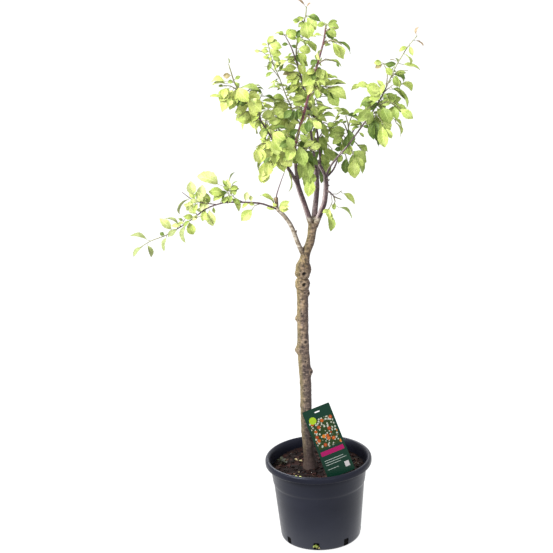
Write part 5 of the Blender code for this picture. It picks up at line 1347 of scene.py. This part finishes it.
def leaf_into(solid, blade_map, leaf, material_index, rng):
    """One leaf blade: a flat grid brought to the leaf's outline, arch, fold, waves and twist."""
    made = bmesh.ops.create_grid(solid, x_segments=LEAF_STEPS, y_segments=4, size=1)
    side = leaf.along.cross(leaf.face)
    blade = leaf.length * (1 - leaf.stalk / 100) * 1.14
    root = leaf.root + leaf.along * (leaf.length * leaf.stalk / 100)
    arch, fold = rng.uniform(0.5, 1.4), rng.uniform(0.20, 0.62)
    wave, phase, twist = rng.uniform(0.008, 0.034), rng.uniform(0, 6), rng.uniform(-0.4, 0.4)
    faces = {face for vert in made["verts"] for face in vert.link_faces}
    for face in faces:
        face.material_index = material_index
        for loop in face.loops:
            loop[blade_map].uv = ((loop.vert.co.x + 1) / 2, (loop.vert.co.y + 1) / 2)
    for vert in made["verts"]:
        share, across = (vert.co.x + 1) / 2, vert.co.y
        half = 0.49 * leaf.width * sin(pi * share ** 1.10) ** 0.98 * (1.04 - 0.30 * share ** 5)
        if abs(across) > 0.99 and 0.04 < share < 0.97:
            half *= 1 + (0.045 if round(share * LEAF_STEPS) % 2 else -0.045)
        lean = arch * (0.5 - share)
        spine = (root + leaf.along * (blade / arch * (sin(arch / 2) - sin(lean)))
                 + leaf.face * (blade / arch * (cos(lean) - cos(arch / 2))))
        above = leaf.face * cos(lean) - leaf.along * sin(lean)
        turn = twist * share
        lift = half * abs(across) * sin(fold) + wave * blade * abs(across) * sin(share * 10 + phase + across)
        wide = half * across * cos(fold)
        vert.co = spine + side * (wide * cos(turn)) + above * (lift + wide * sin(turn))


leaf_count = 0
for mass in MASSES:
    rng = random.Random(mass.seed + 100)
    names = mass.tints.split()
    blades = bmesh.new()
    blade_map = blades.loops.layers.uv.new("blade")
    for number, (twig, own, at_tip) in enumerate(kept[mass.name]):
        tone = names[number % len(names)]
        for leaf in own + at_tip:
            young = twig.order == 0 and leaf in at_tip and mass.name in ("left_crown", "top_crown", "right_crown")
            pick = leaf.tone or ("young" if young else rng.choices((tone, rng.choice(names)), (2, 1))[0])
            leaf_into(blades, blade_map, leaf, list(finishes).index(pick), rng)
            leaf_count += 1
    blades = piece_of("leaves_" + mass.name, blades, list(finishes.values()))
    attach(blades, "root")
    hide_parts(mass.name)
print("leaves", leaf_count)

# What else grows or lies here: a small grey-green weed and fallen bits of leaf on the compost, and a
# seedling that looks out of the front drain slot.
litter = bmesh.new()
blade_map = litter.loops.layers.uv.new("blade")
rng = random.Random(4)
for x, y, count, length, tone, rise in [
        (-0.0955, 0.0330, 8, 0.019, "sage", 0.5), (-0.0900, 0.0250, 3, 0.012, "sage", 0.3),
        (-0.0538, 0.0400, 2, 0.013, "straw", 0.0), (-0.0556, -0.0244, 1, 0.009, "straw", 0.0),
        (-0.0565, -0.0598, 2, 0.014, "yellow", 0.0), (0.0300, -0.0900, 1, 0.010, "straw", 0.0),
        (0.0750, 0.0450, 1, 0.012, "straw", 0.0), (0.0100, 0.0900, 2, 0.012, "straw", 0.0)]:
    root = Vector((x, y, soil_height(x, y) + 0.0025))
    for k in range(count):
        turn = 2 * pi * (k + rng.uniform(-0.3, 0.3)) / count
        along = Vector((cos(turn), sin(turn), rise * rng.uniform(0.4, 1.6) + 0.05)).normalized()
        face = (UP - along * along.z).normalized()
        leaf_into(litter, blade_map, Leaf(root, along, face, length * rng.uniform(0.7, 1.1), length * 0.5),
                  list(finishes).index(tone), rng)
root = Vector((0.1035 * cos(SLOT_TURN), 0.1035 * sin(SLOT_TURN), 0.0075))
for k, (turn, rise, length) in enumerate([(-0.6, 0.6, 0.016), (0.5, 0.9, 0.015), (0.0, 1.8, 0.015), (0.8, 0.3, 0.013),
                                          (-1.0, 1.0, 0.013)]):
    along = Vector((cos(SLOT_TURN + turn), sin(SLOT_TURN + turn), rise)).normalized()
    face = (UP - along * along.z).normalized()
    leaf_into(litter, blade_map, Leaf(root, along, face, length, length * 0.62),
              list(finishes).index("straw" if k == 3 else "yellow" if k % 2 else "lime"), rng)
litter = piece_of("litter", litter, list(finishes.values()))
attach(litter, "root")

# The studio: a pale floor, a wide soft light from the upper left, a fill and the camera, which
# looks slightly down with a long lens.
CAMERA_PLACE = Vector((-0.0895, -4.0, 2.0462))
CAMERA_PITCH, CAMERA_ROLL = radians(18.26), radians(2.478)
CAMERA_LENS = 108.09

paper, tree, shader = finish("studio_white", (0.03, 0.03, 0.03), 0.9)
faint = node(tree, "TexNoise", {"Vector": spots_on(tree, (1, 1, 1)), "Scale": 2.0})
tree.links.new(ramp(tree, faint.outputs["Fac"], [(0.0, 0.028), (1.0, 0.032)]), shader.inputs["Base Color"])
shader.inputs["Emission Color"].default_value = (1, 1, 1, 1)
shader.inputs["Emission Strength"].default_value = 0.97
ground = bmesh.new()
bmesh.ops.create_grid(ground, x_segments=1, y_segments=1, size=60)
floor = piece_of("studio_floor", ground, [paper])
sweep = bmesh.new()
bmesh.ops.create_uvsphere(sweep, u_segments=48, v_segments=24, radius=58)
backdrop = piece_of("studio_backdrop", sweep, [paper])
for stage in (floor, backdrop):
    stage.visible_diffuse = stage.visible_glossy = stage.visible_transmission = False
backdrop.visible_shadow = False

world = bpy.data.worlds.new("studio")
world.use_nodes = True
world.node_tree.nodes["Background"].inputs["Color"].default_value = (1.0, 1.0, 1.0, 1)
world.node_tree.nodes["Background"].inputs["Strength"].default_value = 1.6
bpy.context.scene.world = world
bpy.context.scene.view_settings.view_transform = "Standard"

for name, place, size, power in [
        ("key", (-2.3, -1.7, 2.7), 1.2, 290), ("back", (-0.9, 2.5, 2.8), 1.2, 130), ("front", (0.9, -3.4, 1.6), 1.8, 30)]:
    lamp = bpy.data.lights.new(name, "AREA")
    lamp.size = size
    lamp.energy = power
    light = bpy.data.objects.new(name, lamp)
    light.location = place
    light.rotation_euler = (Vector((0, 0, 0.8)) - Vector(place)).to_track_quat("-Z", "Y").to_euler()
    bpy.context.scene.collection.objects.link(light)

lens = bpy.data.cameras.new("photo_view")
lens.lens = CAMERA_LENS
lens.sensor_width = 36
camera = bpy.data.objects.new("photo_view", lens)
camera.matrix_world = (Matrix.Translation(CAMERA_PLACE) @ Matrix.Rotation(pi / 2 - CAMERA_PITCH, 4, "X")
                       @ Matrix.Rotation(-CAMERA_ROLL, 4, "Z"))
bpy.context.scene.collection.objects.link(camera)
bpy.context.scene.camera = camera
